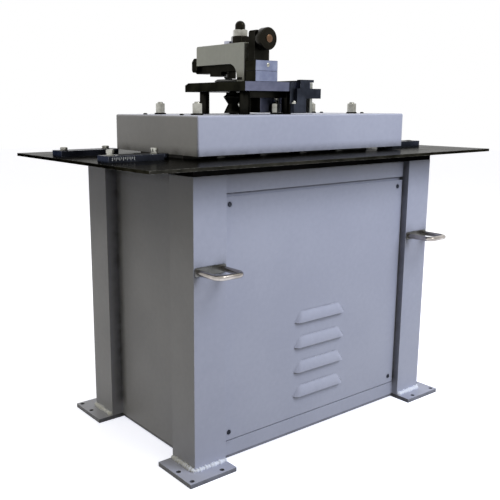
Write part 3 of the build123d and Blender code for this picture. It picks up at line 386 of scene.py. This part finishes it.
def colour(red, green, blue):
    """A colour written as on a screen, 0 to 255, as the shader takes it."""
    linear = [((part / 255 + 0.055) / 1.055) ** 2.4 for part in (red, green, blue)]
    return (*linear, 1)


# Directions of faces, and values that several finishes share
to_front = ("Y", -1)
to_top = ("Z", 1)
full_sheen = (1, 1, 1, 1)
dull_sheen = (0.35, 0.35, 0.35, 1)
table_sheen = (0.2, 0.2, 0.19, 1)
black_sheen = (0.08, 0.08, 0.08, 1)
even_streak = (60, 60, 60)
table_streak = (4, 160, 160)
upright_streak = (240, 240, 30)
cabinet_grey = colour(168, 171, 188)
cabinet_shade = colour(160, 163, 181)
cabinet_primer = colour(205, 206, 208)
rubbed_steel = colour(176, 178, 190)
# Dark colours of the painted shade on a steel's other sides
side_shade_black = colour(22, 22, 19)
side_shade_dark = colour(38, 38, 31)


def paint(name, main, dark, worn, shade_and_grime, corner=0.035, roughness=0.42):
    """Sprayed enamel: cloudy tone, fine orange peel, painted shade with some dirt in upright corners and
    recesses, and rubbed edges.
    """
    tree = Tree(name)
    mottle = tree.times(tree.noise(mottle_grain, detail=3), mottle_share)
    cloud = tree.maths("ADD", tree.noise(cloud_grain, detail=3), mottle)
    base = tree.blend(tree.band(cloud, *cloud_band), dark, main)
    # Painted shade, with some dirt: ambient occlusion darkens corners, recesses and gaps, in patches, not
    # on upward faces, and low on the legs only in the foot plates' holes
    patches = tree.band(tree.noise(shade_and_dirt_grain), *shade_and_dirt_band, *shade_and_dirt_shares)
    shade_and_dirt = tree.times(tree.hollows(corner), patches)
    shade_and_dirt = tree.times(shade_and_dirt, tree.maths("SUBTRACT", 1, tree.facing(*to_top)))
    over_welds = tree.band(tree.height(), corner_shade_start, corner_shade_full)
    in_feet = tree.band(tree.height(), foot_top, foot_top - foot_fade)
    shade_and_dirt = tree.times(shade_and_dirt, tree.maths("MAXIMUM", over_welds, in_feet))
    base = tree.blend(shade_and_dirt, base, shade_and_grime)
    chips = tree.band(tree.noise(chip_grain, detail=5, roughness=0.7), *chip_band)
    base = tree.blend(tree.times(tree.edges(chip_reach), chips), base, worn)
    swing = [roughness + change for change in gloss_swing]
    gloss = tree.band(tree.noise(gloss_grain, detail=5), *gloss_band, *swing)
    tree.set(tree.shader, "Base Color", base)
    tree.set(tree.shader, "Roughness", gloss)
    tree.set(tree.shader, "Specular IOR Level", paint_gloss)
    tree.bump(tree.noise(peel_grain, detail=2, roughness=0.4), peel_strength, peel_depth)
    return tree.material


def metal(name, main, dark, roughness, streak, worn=None, sheen=full_sheen, ground=None, sides=None):
    """Steel with streaks and smudges. Edges may be rubbed, and where one side keeps the main colour, all
    other sides get painted shade: dark, with the sides' colour in it.
    """
    tree = Tree(name)
    lines = tree.noise(1, roughness=0.6, place=tree.stretched(streak))
    smudge = tree.noise(smudge_grain, detail=5, roughness=0.6)
    base = tree.blend(tree.band(smudge, *usual_band), dark, main)
    base = tree.blend(tree.times(tree.band(lines, *streak_band), streak_share), base, dark)
    # Painted shade on every face but those towards the side that keeps the main colour
    if ground:
        scale = tree.blend(tree.band(smudge, *usual_band), side_shade_black, sides)
        base = tree.blend(tree.facing(*ground), scale, base)
    if worn:
        scuffs = tree.band(tree.noise(rub_grain, roughness=0.7), *rub_band)
        base = tree.blend(tree.times(tree.edges(rub_reach), scuffs), base, worn)
    uneven = tree.maths("ADD", tree.times(lines, steel_swing), tree.times(smudge, steel_swing))
    tree.set(tree.shader, "Base Color", base)
    tree.set(tree.shader, "Metallic", 1.0)
    tree.set(tree.shader, "Specular Tint", sheen)
    tree.set(tree.shader, "Roughness", tree.maths("ADD", uneven, roughness - steel_swing))
    tree.bump(lines, streak_strength, streak_depth)
    return tree.material


def plastic(name, main, dark, roughness):
    """Moulded plastic, rubber or brushed-on paint with a fine grain."""
    tree = Tree(name)
    tone = tree.band(tree.noise(tone_grain), *usual_band)
    swing = (roughness - plastic_swing, roughness + plastic_swing)
    satin = tree.band(tree.noise(satin_grain), *usual_band, *swing)
    tree.set(tree.shader, "Base Color", tree.blend(tone, dark, main))
    tree.set(tree.shader, "Roughness", satin)
    tree.bump(tree.noise(mould_grain, detail=2), mould_strength, mould_depth)
    return tree.material


# In each paint the grime colour is painted shade with some dirt, for its corners and recesses
finishes = {
    "cabinet_paint": paint(
        "cabinet_enamel", cabinet_grey, cabinet_shade, worn=cabinet_primer, shade_and_grime=colour(48, 47, 43),
    ),
    # The door's and rail's dark blue grime is painted shade in the door's seams and under the louvres
    "door_paint": paint(
        "door_enamel", cabinet_grey, cabinet_shade, worn=cabinet_primer, shade_and_grime=colour(24, 25, 34),
        corner=0.007, roughness=0.36,
    ),
    "attachment_paint": paint(
        "attachment_enamel", colour(190, 196, 204), colour(180, 186, 194),
        worn=colour(205, 205, 202), shade_and_grime=colour(56, 55, 50),
    ),
    "motor_paint": paint(
        "motor_enamel", colour(78, 92, 108), colour(66, 80, 96),
        worn=colour(150, 155, 160), shade_and_grime=colour(50, 50, 50),
    ),
    "black_steel": metal(
        "black_steel", colour(38, 37, 33), colour(24, 24, 21), roughness=0.36, streak=even_streak,
        worn=colour(84, 82, 78), sheen=dull_sheen,
    ),
    # The table's top keeps its colour; its other faces get painted shade
    "table_steel": metal(
        "table_steel", colour(86, 84, 78), colour(74, 72, 67), roughness=0.24, streak=table_streak,
        worn=colour(150, 148, 144), sheen=table_sheen, ground=to_top, sides=colour(54, 53, 48),
    ),
    "bright_steel": metal(
        "bright_steel", colour(198, 198, 190), colour(128, 126, 118), roughness=0.2, streak=(40, 40, 240),
    ),
    # Bluish fronts: painted reflection of the front light; their other faces get painted shade
    "ground_steel": metal(
        "ground_steel", colour(146, 154, 178), colour(114, 121, 148), roughness=0.36, streak=upright_streak,
        worn=rubbed_steel, sheen=dull_sheen, ground=to_front, sides=side_shade_dark,
    ),
    "plate_steel": metal(
        "plate_steel", colour(112, 115, 136), colour(90, 94, 114), roughness=0.34, streak=(30, 240, 240),
        worn=rubbed_steel, sheen=dull_sheen, ground=to_front, sides=side_shade_dark,
    ),
    "guide_steel": metal(
        "guide_steel", colour(60, 64, 76), colour(42, 45, 54), roughness=0.24, streak=table_streak,
        worn=colour(176, 178, 182), sheen=dull_sheen,
    ),
    "gauge_steel": metal(
        "gauge_steel", colour(62, 66, 76), colour(38, 41, 48), roughness=0.42, streak=even_streak,
        worn=colour(110, 112, 116), sheen=dull_sheen,
    ),
    # A darker copy of black steel for the bed plate under the table's overhang: painted shade
    "shaded_bed_steel": metal(
        "shaded_bed_steel", colour(16, 15, 15), colour(9, 9, 9), roughness=0.5, streak=even_streak,
        sheen=black_sheen,
    ),
    "knob_steel": metal(
        "knob_steel", colour(38, 36, 30), colour(26, 25, 21), roughness=0.25, streak=even_streak,
        worn=colour(132, 128, 110),
    ),
    "plain_steel": metal(
        "plain_steel", colour(158, 160, 154), colour(132, 134, 128), roughness=0.36, streak=upright_streak,
    ),
    "roll_steel": metal(
        "roll_steel", colour(112, 112, 110), colour(78, 78, 76), roughness=0.3, streak=even_streak,
    ),
    "head_iron": metal(
        "head_iron", colour(78, 77, 74), colour(54, 53, 50), roughness=0.5, streak=(20, 20, 20),
        worn=colour(130, 128, 124),
    ),
    "pulley_iron": metal(
        "pulley_iron", colour(110, 109, 107), colour(78, 77, 76), roughness=0.4, streak=(30, 200, 30),
    ),
    "handle_steel": metal(
        "handle_steel", colour(190, 184, 180), colour(140, 134, 128), roughness=0.2, streak=(240, 40, 40),
    ),
    "plated_steel": metal(
        "plated_steel", colour(188, 190, 202), colour(168, 170, 184), roughness=0.34, streak=(40, 40, 200),
    ),
    "brass": metal("brass", colour(112, 86, 66), colour(84, 64, 50), roughness=0.34, streak=even_streak),
    # A paler paint than the legs': painted highlight on the weld beads; its grime is painted shade in their
    # hollows
    "weld": paint(
        "pale_highlight_weld", colour(226, 230, 242), colour(204, 208, 220),
        worn=colour(240, 240, 240), shade_and_grime=colour(170, 172, 178),
    ),
    "tick_paint": plastic("tick_paint", colour(226, 226, 222), colour(200, 200, 198), roughness=0.55),
    "belt_rubber": plastic("belt_rubber", colour(40, 39, 38), colour(26, 26, 26), roughness=0.75),
    "switch_plastic": plastic("switch_plastic", colour(66, 66, 66), colour(56, 56, 56), roughness=0.42),
    "start_plastic": plastic("start_plastic", colour(30, 128, 62), colour(24, 112, 54), roughness=0.36),
    "stop_plastic": plastic("stop_plastic", colour(178, 30, 28), colour(160, 24, 24), roughness=0.36),
}

# CAD nodes whose finish or edges differ from the rest
own_finish = {
    "front_top_rail": "door_paint",
    "gauge_bracket": "plain_steel",
    "flanger_spindle": "black_steel",
    "flanger_plate": "plate_steel",
    "adjusting_knob": "knob_steel",
    "arm_clamp_bolt": "knob_steel",
    "bed_plate": "shaded_bed_steel",
    "front_guide": "guide_steel",
    "rear_guide": "guide_steel",
    "exit_guide": "guide_steel",
    "leg_handles": "handle_steel",
    "lever_screw": "plated_steel",
}
thin_nodes = (
    "front_top_rail", "front_skirt", "left_panel", "right_panel", "rear_panel",
    "adjusting_knob", "flanger_spindle",
)
close_nodes = ("start_button", "stop_button", "gear_motor")
own_edges = {name: leg_round for name in nodes if name.startswith("leg_") and name != "leg_handles"}
own_edges["cover"] = cover_round
own_edges.update({name: sheet_round for name in thin_nodes})
own_edges.update({name: button_round for name in close_nodes})
slot_of = {part["node"]: part["material_slot"] for part in frame["record"]["subparts"]}


def rounded(thing, width):
    """Round a thing's sharp edges."""
    bevel = thing.modifiers.new("rounded_edges", "BEVEL")
    bevel.width = width
    bevel.segments = 2
    bevel.limit_method = "ANGLE"
    bevel.angle_limit = math.radians(edge_angle)
    bevel.loop_slide = False
    bevel.harden_normals = True


for name, node in nodes.items():
    node.data.materials.clear()
    node.data.materials.append(finishes[own_finish.get(name, slot_of[name])])
    weld = node.modifiers.new("weld", "WELD")
    weld.merge_threshold = same_point
    flatten = node.modifiers.new("whole_faces", "DECIMATE")
    flatten.decimate_type = "DISSOLVE"
    flatten.angle_limit = math.radians(flat_angle)
    rounded(node, own_edges.get(name, edge_round))


def ring(place, radius, height, flats=None, sides=36):
    """Points round the place's own axis, cut back to a hexagon where its width across flats is given."""
    points = []
    for step in range(sides):
        angle = 2 * math.pi * step / sides
        reach = radius
        if flats:
            off_flat = (angle + math.pi / 6) % (math.pi / 3) - math.pi / 6
            reach = min(radius, flats / 2 / math.cos(off_flat))
        points.append(place @ Vector((reach * math.cos(angle), reach * math.sin(angle), height)))
    return points


def loft(shape, rings, hollow=False):
    """Faces from ring to ring. The ends are capped or, where hollow, joined to each other."""
    rows = [[shape.verts.new(point) for point in points] for points in rings]
    pairs = list(zip(rows, rows[1:]))
    if hollow:
        pairs.append((rows[-1], rows[0]))
    else:
        shape.faces.new(rows[0])
        shape.faces.new(rows[-1])
    for low, high in pairs:
        for step in range(len(low)):
            after = (step + 1) % len(low)
            shape.faces.new((low[step], low[after], high[after], high[step]))


def turned(shape, place, outline, hollow=False):
    """Turn an outline of (radius, height) or (radius, height, flats) points round the place's own axis."""
    loft(shape, [ring(place, *point) for point in outline], hollow)


def oblong(left, right, bottom, top):
    """The corners of a rectangle, each as (along, level)."""
    return ((left, bottom), (right, bottom), (right, top), (left, top))


def upright_plate(shape, outline, depths):
    """A plate between two depths, with an outline of (along, level) points."""
    loft(shape, [[Vector((along, depth, level)) for along, level in outline] for depth in depths])


def screw_head(shape, place, radius, height, socket):
    """A low domed screw head with a hexagon socket."""
    outline = []
    for across, up, in_socket in screw_outline:
        flats = socket if in_socket else None
        outline.append((radius * across, height * up, flats))
    turned(shape, place, outline)


def piece(name, shape, finish, slot, body, *replaced):
    """Make an object of the shape that moves with the body and may stand for CAD nodes."""
    bmesh.ops.recalc_face_normals(shape, faces=shape.faces)
    mesh = bpy.data.meshes.new(name)
    shape.to_mesh(mesh)
    shape.free()
    mesh.shade_smooth()
    mesh.set_sharp_from_angle(angle=math.radians(edge_angle))
    mesh.materials.append(finishes[finish])
    thing = bpy.data.objects.new(name, mesh)
    scene.collection.objects.link(thing)
    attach(thing, body)
    if replaced:
        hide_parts(*replaced)
    return thing


# A piece's own axis: up, or out of the machine's front
upright = Matrix.Translation
turn_front = Matrix.Rotation(math.radians(90), 4, "X")


def facing_front(place):
    """An axis that comes out of the machine's front at the place."""
    return Matrix.Translation(place) @ turn_front


def stud_outline(rise):
    """A threaded bolt end that stands out of its nut by the rise."""
    groove = stud_radius - thread_depth
    outline = [(groove, -stud_root)]
    for turn in range(int(rise / thread_pitch)):
        outline.append((stud_radius, (turn + thread_crest) * thread_pitch))
        outline.append((groove, (turn + thread_groove) * thread_pitch))
    outline.append((groove, rise - stud_bevel))
    outline.append((stud_radius * stud_tip, rise))
    return outline


# Washers and threaded bolt ends on the cover
pressure_nuts_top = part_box("pressure_bolts")[1].z
cover_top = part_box("cover")[1].z
washer_outline = [
    (washer_bore, 0),
    (washer_radius, 0),
    (washer_radius, washer_height - washer_bevel),
    (washer_radius - washer_bevel, washer_height),
    (washer_bore, washer_height),
]
washers = bmesh.new()
studs = bmesh.new()
for station in bolt_stations:
    rise = long_stud if station == bolt_stations[1] else short_stud
    for row in (-bolt_row, bolt_row):
        turned(washers, upright((station, row, cover_top)), washer_outline, hollow=True)
        turned(studs, upright((station, row, pressure_nuts_top)), stud_outline(rise))
piece("pressure_washers", washers, "black_steel", "black_steel", "frame")
piece("pressure_studs", studs, "bright_steel", "bright_steel", "frame")

# Socket screws of the cover and the door
low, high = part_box("cover_screws")
heads = bmesh.new()
for along in (low.x + screw_radius, high.x - screw_radius):
    for across in (low.y + screw_radius, high.y - screw_radius):
        place = upright((along, across, cover_top))
        screw_head(heads, place, screw_radius, high.z - cover_top, screw_socket)
piece("cover_screw_heads", heads, "black_steel", "black_steel", "frame", "cover_screws")

low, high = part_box("door_screws")
heads = bmesh.new()
for along in (low.x + screw_radius, high.x - screw_radius):
    for level in (low.z + screw_radius, high.z - screw_radius):
        place = facing_front((along, low.y + door_screw_height, level))
        screw_head(heads, place, screw_radius, door_screw_height, screw_socket)
piece("door_screw_heads", heads, "gauge_steel", "black_steel", "frame", "door_screws")


def swell(share):
    """A smooth rise from 0 to 1, steeper at its start."""
    return math.sin(math.pi / 2 * max(0, min(1, share)) ** louvre_power)


# Door: a flat sheet with louvres pressed out of it, open at their lower edges
low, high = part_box("front_door")
half_width = louvre_width / 2
columns = [low.x + door_side_gap, louvre_centre - half_width - louvre_margin]
for step in range(louvre_columns + 1):
    columns.append(louvre_centre + louvre_width * (step / louvre_columns - 0.5))
columns += [louvre_centre + half_width + louvre_margin, high.x - door_side_gap]

# Rows of the sheet: height, share of the louvre's depth, and how far its ends lean in
rows = [(low.z + door_side_gap, 0, 0)]
for louvre in range(louvre_count):
    bottom = louvre_bottom + louvre * louvre_pitch
    rows += [(bottom - louvre_margin, 0, 0), (bottom, 0, 0)]
    for step in range(louvre_rows + 1):
        up = step / louvre_rows
        rows.append((bottom + louvre_rise * up, swell(1 - up), louvre_taper * up))
    rows.append((bottom + louvre_rise + louvre_margin, 0, 0))
rows.append((high.z - door_top_gap, 0, 0))
door = bmesh.new()
grid = []
for level, share, lean in rows:
    line = []
    for along in columns:
        from_end = half_width - lean - abs(along - louvre_centre)
        proud = louvre_depth * share * swell(from_end / louvre_end)
        line.append(door.verts.new((along, door_face - proud, level)))
    grid.append(line)
for row, (lower, upper) in enumerate(zip(grid, grid[1:])):
    # Two rows at the same height are the edges of a louvre's open slot
    if rows[row][0] == rows[row + 1][0]:
        continue
    for step in range(len(columns) - 1):
        door.faces.new((lower[step], lower[step + 1], upper[step + 1], upper[step]))
bmesh.ops.remove_doubles(door, verts=door.verts, dist=same_point)
bmesh.ops.solidify(door, geom=door.faces[:], thickness=door_sheet)
piece("front_door_sheet", door, "door_paint", "cabinet_paint", "frame", "front_door")


def guide_bolt_outline(collar, head):
    """A clamp bolt: a flange, a collar and a hexagon head that is slightly hollow on top."""
    top = collar + head
    flat_radius = guide_head_flats / 2
    foot_in, foot_up = guide_head_foot
    shoulder_in, shoulder_down = guide_head_shoulder
    dish_in, dish_down = guide_head_dish
    return [
        (flange_radius, 0),
        (flange_radius, flange_height),
        (collar_radius, flange_height + flange_slope),
        (collar_radius, collar),
        (guide_head_radius - foot_in, collar, guide_head_flats),
        (guide_head_radius, collar + foot_up, guide_head_flats),
        (guide_head_radius, top - shoulder_down, guide_head_flats),
        (flat_radius - shoulder_in, top),
        (flat_radius - dish_in, top - dish_down),
    ]


# Clamp bolts of the guides
guide_bolts = bmesh.new()
for guide, bolt in (("front_guide", tall_head), ("rear_guide", low_head)):
    low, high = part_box(guide)
    for along in (low.x + guide_bolt_inset, high.x - guide_nose_inset):
        place = upright((along, (low.y + high.y) / 2, guide_bolt_seat))
        turned(guide_bolts, place, guide_bolt_outline(*bolt))
piece("guide_bolt_heads", guide_bolts, "bright_steel", "bright_steel", "frame", "guide_bolts")

# Low black screws of the exit guide
low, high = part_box("exit_guide")
heads = bmesh.new()
for along in (low.x + guide_nose_inset, high.x - guide_bolt_inset):
    place = upright((along, (low.y + high.y) / 2, guide_bolt_seat))
    screw_head(heads, place, exit_head_radius, exit_head_height, exit_socket)
piece("exit_screw_heads", heads, "black_steel", "bright_steel", "frame", "guide_bolts")

# Scale ticks on the front guide
low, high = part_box("front_guide")
ticks = bmesh.new()
tick_top = high.z - tick_drop
for step in range(tick_count):
    middle = low.x + tick_start + step * tick_pitch
    tick_bottom = tick_top - tick_lengths[step % 2]
    outline = oblong(middle - tick_width / 2, middle + tick_width / 2, tick_bottom, tick_top)
    upright_plate(ticks, outline, (low.y + tick_root, low.y - tick_proud))
piece("guide_ticks", ticks, "tick_paint", "table_steel", "front_guide_bar")

# Attachment: knob insert, riser screw and the gauge's dome nut
knob_insert = bmesh.new()
knob_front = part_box("adjusting_knob")[0].y
outline = [(knob_insert_radius, -knob_insert_root)]
for across, up in knob_insert_outline:
    outline.append((knob_insert_radius * across, knob_insert_height * up))
turned(knob_insert, facing_front((knob_axis[0], knob_front, knob_axis[1])), outline)
piece("knob_insert", knob_insert, "brass", "bright_steel", "knob")

riser_screw = bmesh.new()
riser_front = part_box("riser_cap")[0].y
place = facing_front((riser_screw_at[0], riser_front, riser_screw_at[1]))
screw_head(riser_screw, place, riser_screw_radius, riser_screw_height, screw_socket)
piece("riser_screw", riser_screw, "bright_steel", "bright_steel", "frame")

gauge_nut = bmesh.new()
nut_corner = gauge_nut_flats * gauge_nut_corner
outline = [
    (nut_corner, -gauge_lap, gauge_nut_flats),
    (nut_corner, gauge_nut_height, gauge_nut_flats),
]
for across, up in gauge_dome_outline:
    outline.append((gauge_nut_flats * across, gauge_nut_height + gauge_dome * up))
turned(gauge_nut, upright(gauge_nut_at), outline)
piece("gauge_nut", gauge_nut, "bright_steel", "bright_steel", "frame")

# Gauge bar with its narrow tab, the fence on the plate and a thin dark plate behind the nut, painted shade
# under the attachment plate
low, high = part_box("gauge_bar")
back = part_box("gauge_bracket")[0].y
bar_outline = (
    (low.x, low.z),
    (gauge_neck, low.z),
    (gauge_neck, gauge_bar_low),
    (high.x, gauge_bar_low),
    (high.x, gauge_bar_high),
    (gauge_tab, gauge_bar_high),
    (gauge_tab, fence_low),
    (fence_right, fence_low),
    (fence_right, high.z),
    (gauge_tab_left, high.z),
    (gauge_tab_left, gauge_bar_high),
    (gauge_bar_left, gauge_bar_high),
    (gauge_bar_left, gauge_foot_top),
    (low.x, gauge_foot_top),
)
fence_outline = oblong(fence_left, fence_right - gauge_lap, fence_low + gauge_lap, high.z - gauge_lap)
shade_plate_outline = oblong(
    low.x - shade_plate_out, gauge_bar_left + gauge_lap, gauge_foot_top - gauge_lap, fence_low
)
gauge = bmesh.new()
upright_plate(gauge, bar_outline, (low.y, back))
upright_plate(gauge, fence_outline, (back - gauge_lap, high.y))
upright_plate(gauge, shade_plate_outline, (back - shade_plate_thickness, back - gauge_lap))
rounded(piece("gauge_bar_shaped", gauge, "gauge_steel", "black_steel", "frame", "gauge_bar"), sheet_round)

# Dark block in the slot of the arm's front leg: painted shade in the slot
slot_shade_block = bmesh.new()
layers = []
for inset, along in ((0, slot_high[0]), (0, slot_low[0] + slot_bevel), (slot_bevel, slot_low[0])):
    corners = oblong(slot_low[1] + inset, slot_high[1] - inset, slot_low[2] + inset, slot_high[2] - inset)
    layers.append([Vector((along, across, level)) for across, level in corners])
loft(slot_shade_block, layers)
piece("arm_slot_shade_block", slot_shade_block, "black_steel", "black_steel", "frame")


def plate_layer(middle, inset, out):
    """One layer of a handle's base plate: a rectangle with round corners, in front of the leg."""
    reach_x = handle_plate_width / 2 - handle_plate_corner
    reach_z = handle_plate_height / 2 - handle_plate_corner
    radius = handle_plate_corner - inset
    outline = []
    for corner, (sign_x, sign_z) in enumerate(((1, 1), (-1, 1), (-1, -1), (1, -1))):
        for step in range(corner_steps + 1):
            angle = math.radians(90 * (corner + step / corner_steps))
            along = middle + sign_x * reach_x + radius * math.cos(angle)
            level = handle_height + sign_z * reach_z + radius * math.sin(angle)
            outline.append(Vector((along, -leg_centre[1] - leg_half - out, level)))
    return outline


# Base plates of the handles
handle_plates = bmesh.new()
plate_layers = (
    (0, -handle_plate_root),
    (0, handle_plate_thickness - handle_plate_bevel),
    (handle_plate_bevel, handle_plate_thickness),
)
for side in (-1, 1):
    loft(handle_plates, [plate_layer(side * leg_centre[0], inset, out) for inset, out in plate_layers])
piece("handle_plates", handle_plates, "roll_steel", "bright_steel", "frame")


def bead(shape, start, end, chance):
    """A weld bead along a straight line: a row of lumps of uneven size."""
    along = end - start
    steps = round(along.length / bead_step)
    up = Vector((0, 0, 1))
    side = along.normalized().cross(up)
    lumps = [chance.uniform(*lump_sizes) for lump in range(steps)]
    rings = []
    for step in range(steps + 1):
        lump, within = divmod(step * bead_step / bead_lump, 1)
        size = lumps[int(lump)] * (lump_neck + (1 - lump_neck) * math.sin(math.pi * within))
        fade = min(1, bead_end + bead_growth * min(step, steps - step))
        reach = bead_radius * size * fade
        centre = start + along * (step / steps)
        points = []
        for part in range(bead_sides):
            angle = 2 * math.pi * part / bead_sides
            points.append(centre + reach * (side * math.cos(angle) + up * math.sin(angle)))
        rings.append(points)
    loft(shape, rings)


# Welds between the legs and the foot plates, on the two outer sides
beads = bmesh.new()
chance = random.Random(7)
level = foot_top + bead_out
for side_x in (-1, 1):
    for side_y in (-1, 1):
        outer_x = side_x * (leg_centre[0] + leg_half + bead_out)
        outer_y = side_y * (leg_centre[1] + leg_half + bead_out)
        inner_x = side_x * (leg_centre[0] - leg_half)
        inner_y = side_y * (leg_centre[1] - leg_half)
        corner = Vector((outer_x, outer_y, level))
        bead(beads, Vector((inner_x, outer_y, level)), corner, chance)
        bead(beads, Vector((outer_x, inner_y, level)), corner, chance)
piece("weld_beads", beads, "weld", "cabinet_paint", "frame")


def seen_directly(tree):
    """1 for camera, glossy and transmission rays."""
    path = tree.nodes.new("ShaderNodeLightPath")
    seen = path.outputs["Is Camera Ray"]
    for other in ("Is Glossy Ray", "Is Transmission Ray"):
        either = tree.nodes.new("ShaderNodeMath")
        either.operation = "MAXIMUM"
        tree.links.new(seen, either.inputs[0])
        tree.links.new(path.outputs[other], either.inputs[1])
        seen = either.outputs["Value"]
    return seen


# White surroundings, and a warm even light for the object
world = bpy.data.worlds.new("studio")
scene.world = world
world.use_nodes = True
world_nodes = world.node_tree.nodes
world_links = world.node_tree.links
ambient = world_nodes["Background"]
ambient.inputs["Color"].default_value = (*ambient_colour, 1)
ambient.inputs["Strength"].default_value = ambient_strength
white = world_nodes.new("ShaderNodeBackground")
white.inputs["Color"].default_value = (*white_light, 1)
white.inputs["Strength"].default_value = 1
mix = world_nodes.new("ShaderNodeMixShader")
world_links.new(seen_directly(world.node_tree), mix.inputs[0])
world_links.new(ambient.outputs[0], mix.inputs[1])
world_links.new(white.outputs[0], mix.inputs[2])
world_links.new(mix.outputs[0], world_nodes["World Output"].inputs["Surface"])


def staged(name, shape, material):
    """A thing of the studio that isn't part of the object."""
    mesh = bpy.data.meshes.new(name)
    shape.to_mesh(mesh)
    shape.free()
    mesh.materials.append(material)
    thing = bpy.data.objects.new(name, mesh)
    scene.collection.objects.link(thing)


# Floor: white paper that keeps the shadow, duller where it only lights the object
floor_paint = bpy.data.materials.new("floor_paper")
floor_paint.use_nodes = True
floor_tree = floor_paint.node_tree
paper = floor_tree.nodes["Principled BSDF"]
paper.inputs["Base Color"].default_value = (floor_white, floor_white, floor_white, 1)
paper.inputs["Roughness"].default_value = floor_roughness
glow = floor_tree.nodes.new("ShaderNodeEmission")
glow.inputs["Color"].default_value = (*floor_glow, 1)
glow.inputs["Strength"].default_value = 1
both = floor_tree.nodes.new("ShaderNodeAddShader")
floor_tree.links.new(paper.outputs[0], both.inputs[0])
floor_tree.links.new(glow.outputs[0], both.inputs[1])
bounce = floor_tree.nodes.new("ShaderNodeBsdfDiffuse")
bounce.inputs["Color"].default_value = (*floor_bounce, 1)
choice = floor_tree.nodes.new("ShaderNodeMixShader")
floor_tree.links.new(seen_directly(floor_tree), choice.inputs[0])
floor_tree.links.new(bounce.outputs[0], choice.inputs[1])
floor_tree.links.new(both.outputs[0], choice.inputs[2])
floor_tree.links.new(choice.outputs[0], floor_tree.nodes["Material Output"].inputs["Surface"])
floor_shape = bmesh.new()
bmesh.ops.create_circle(floor_shape, cap_ends=True, segments=floor_sides, radius=floor_radius)
staged("floor", floor_shape, floor_paint)


def lamp(name, place, size, power, tint, mirrored):
    """A square soft lamp that faces the machine, seen in gloss or not."""
    data = bpy.data.lights.new(name, "AREA")
    data.size = size
    data.energy = power
    data.color = tint
    thing = bpy.data.objects.new(name, data)
    thing.location = place
    thing.rotation_euler = (Vector(aim) - Vector(place)).to_track_quat("-Z", "Y").to_euler()
    thing.visible_glossy = mirrored
    scene.collection.objects.link(thing)


lamp("key_lamp", key_place, key_size, key_power, key_colour, mirrored=False)
lamp("fill_lamp", fill_place, fill_size, fill_power, fill_colour, mirrored=False)
lamp("top_lamp", top_place, top_size, top_power, white_light, mirrored=True)
lamp("back_lamp", back_place, back_size, back_power, white_light, mirrored=False)

camera_data = bpy.data.cameras.new("camera")
camera_data.lens = camera_lens
camera_data.sensor_width = camera_sensor
camera_data.shift_x = camera_shift
camera = bpy.data.objects.new("camera", camera_data)
camera.location = camera_place
camera.rotation_euler = (math.radians(90 - camera_pitch), 0, math.radians(-camera_yaw))
scene.collection.objects.link(camera)
scene.camera = camera
scene.view_settings.view_transform = "Standard"
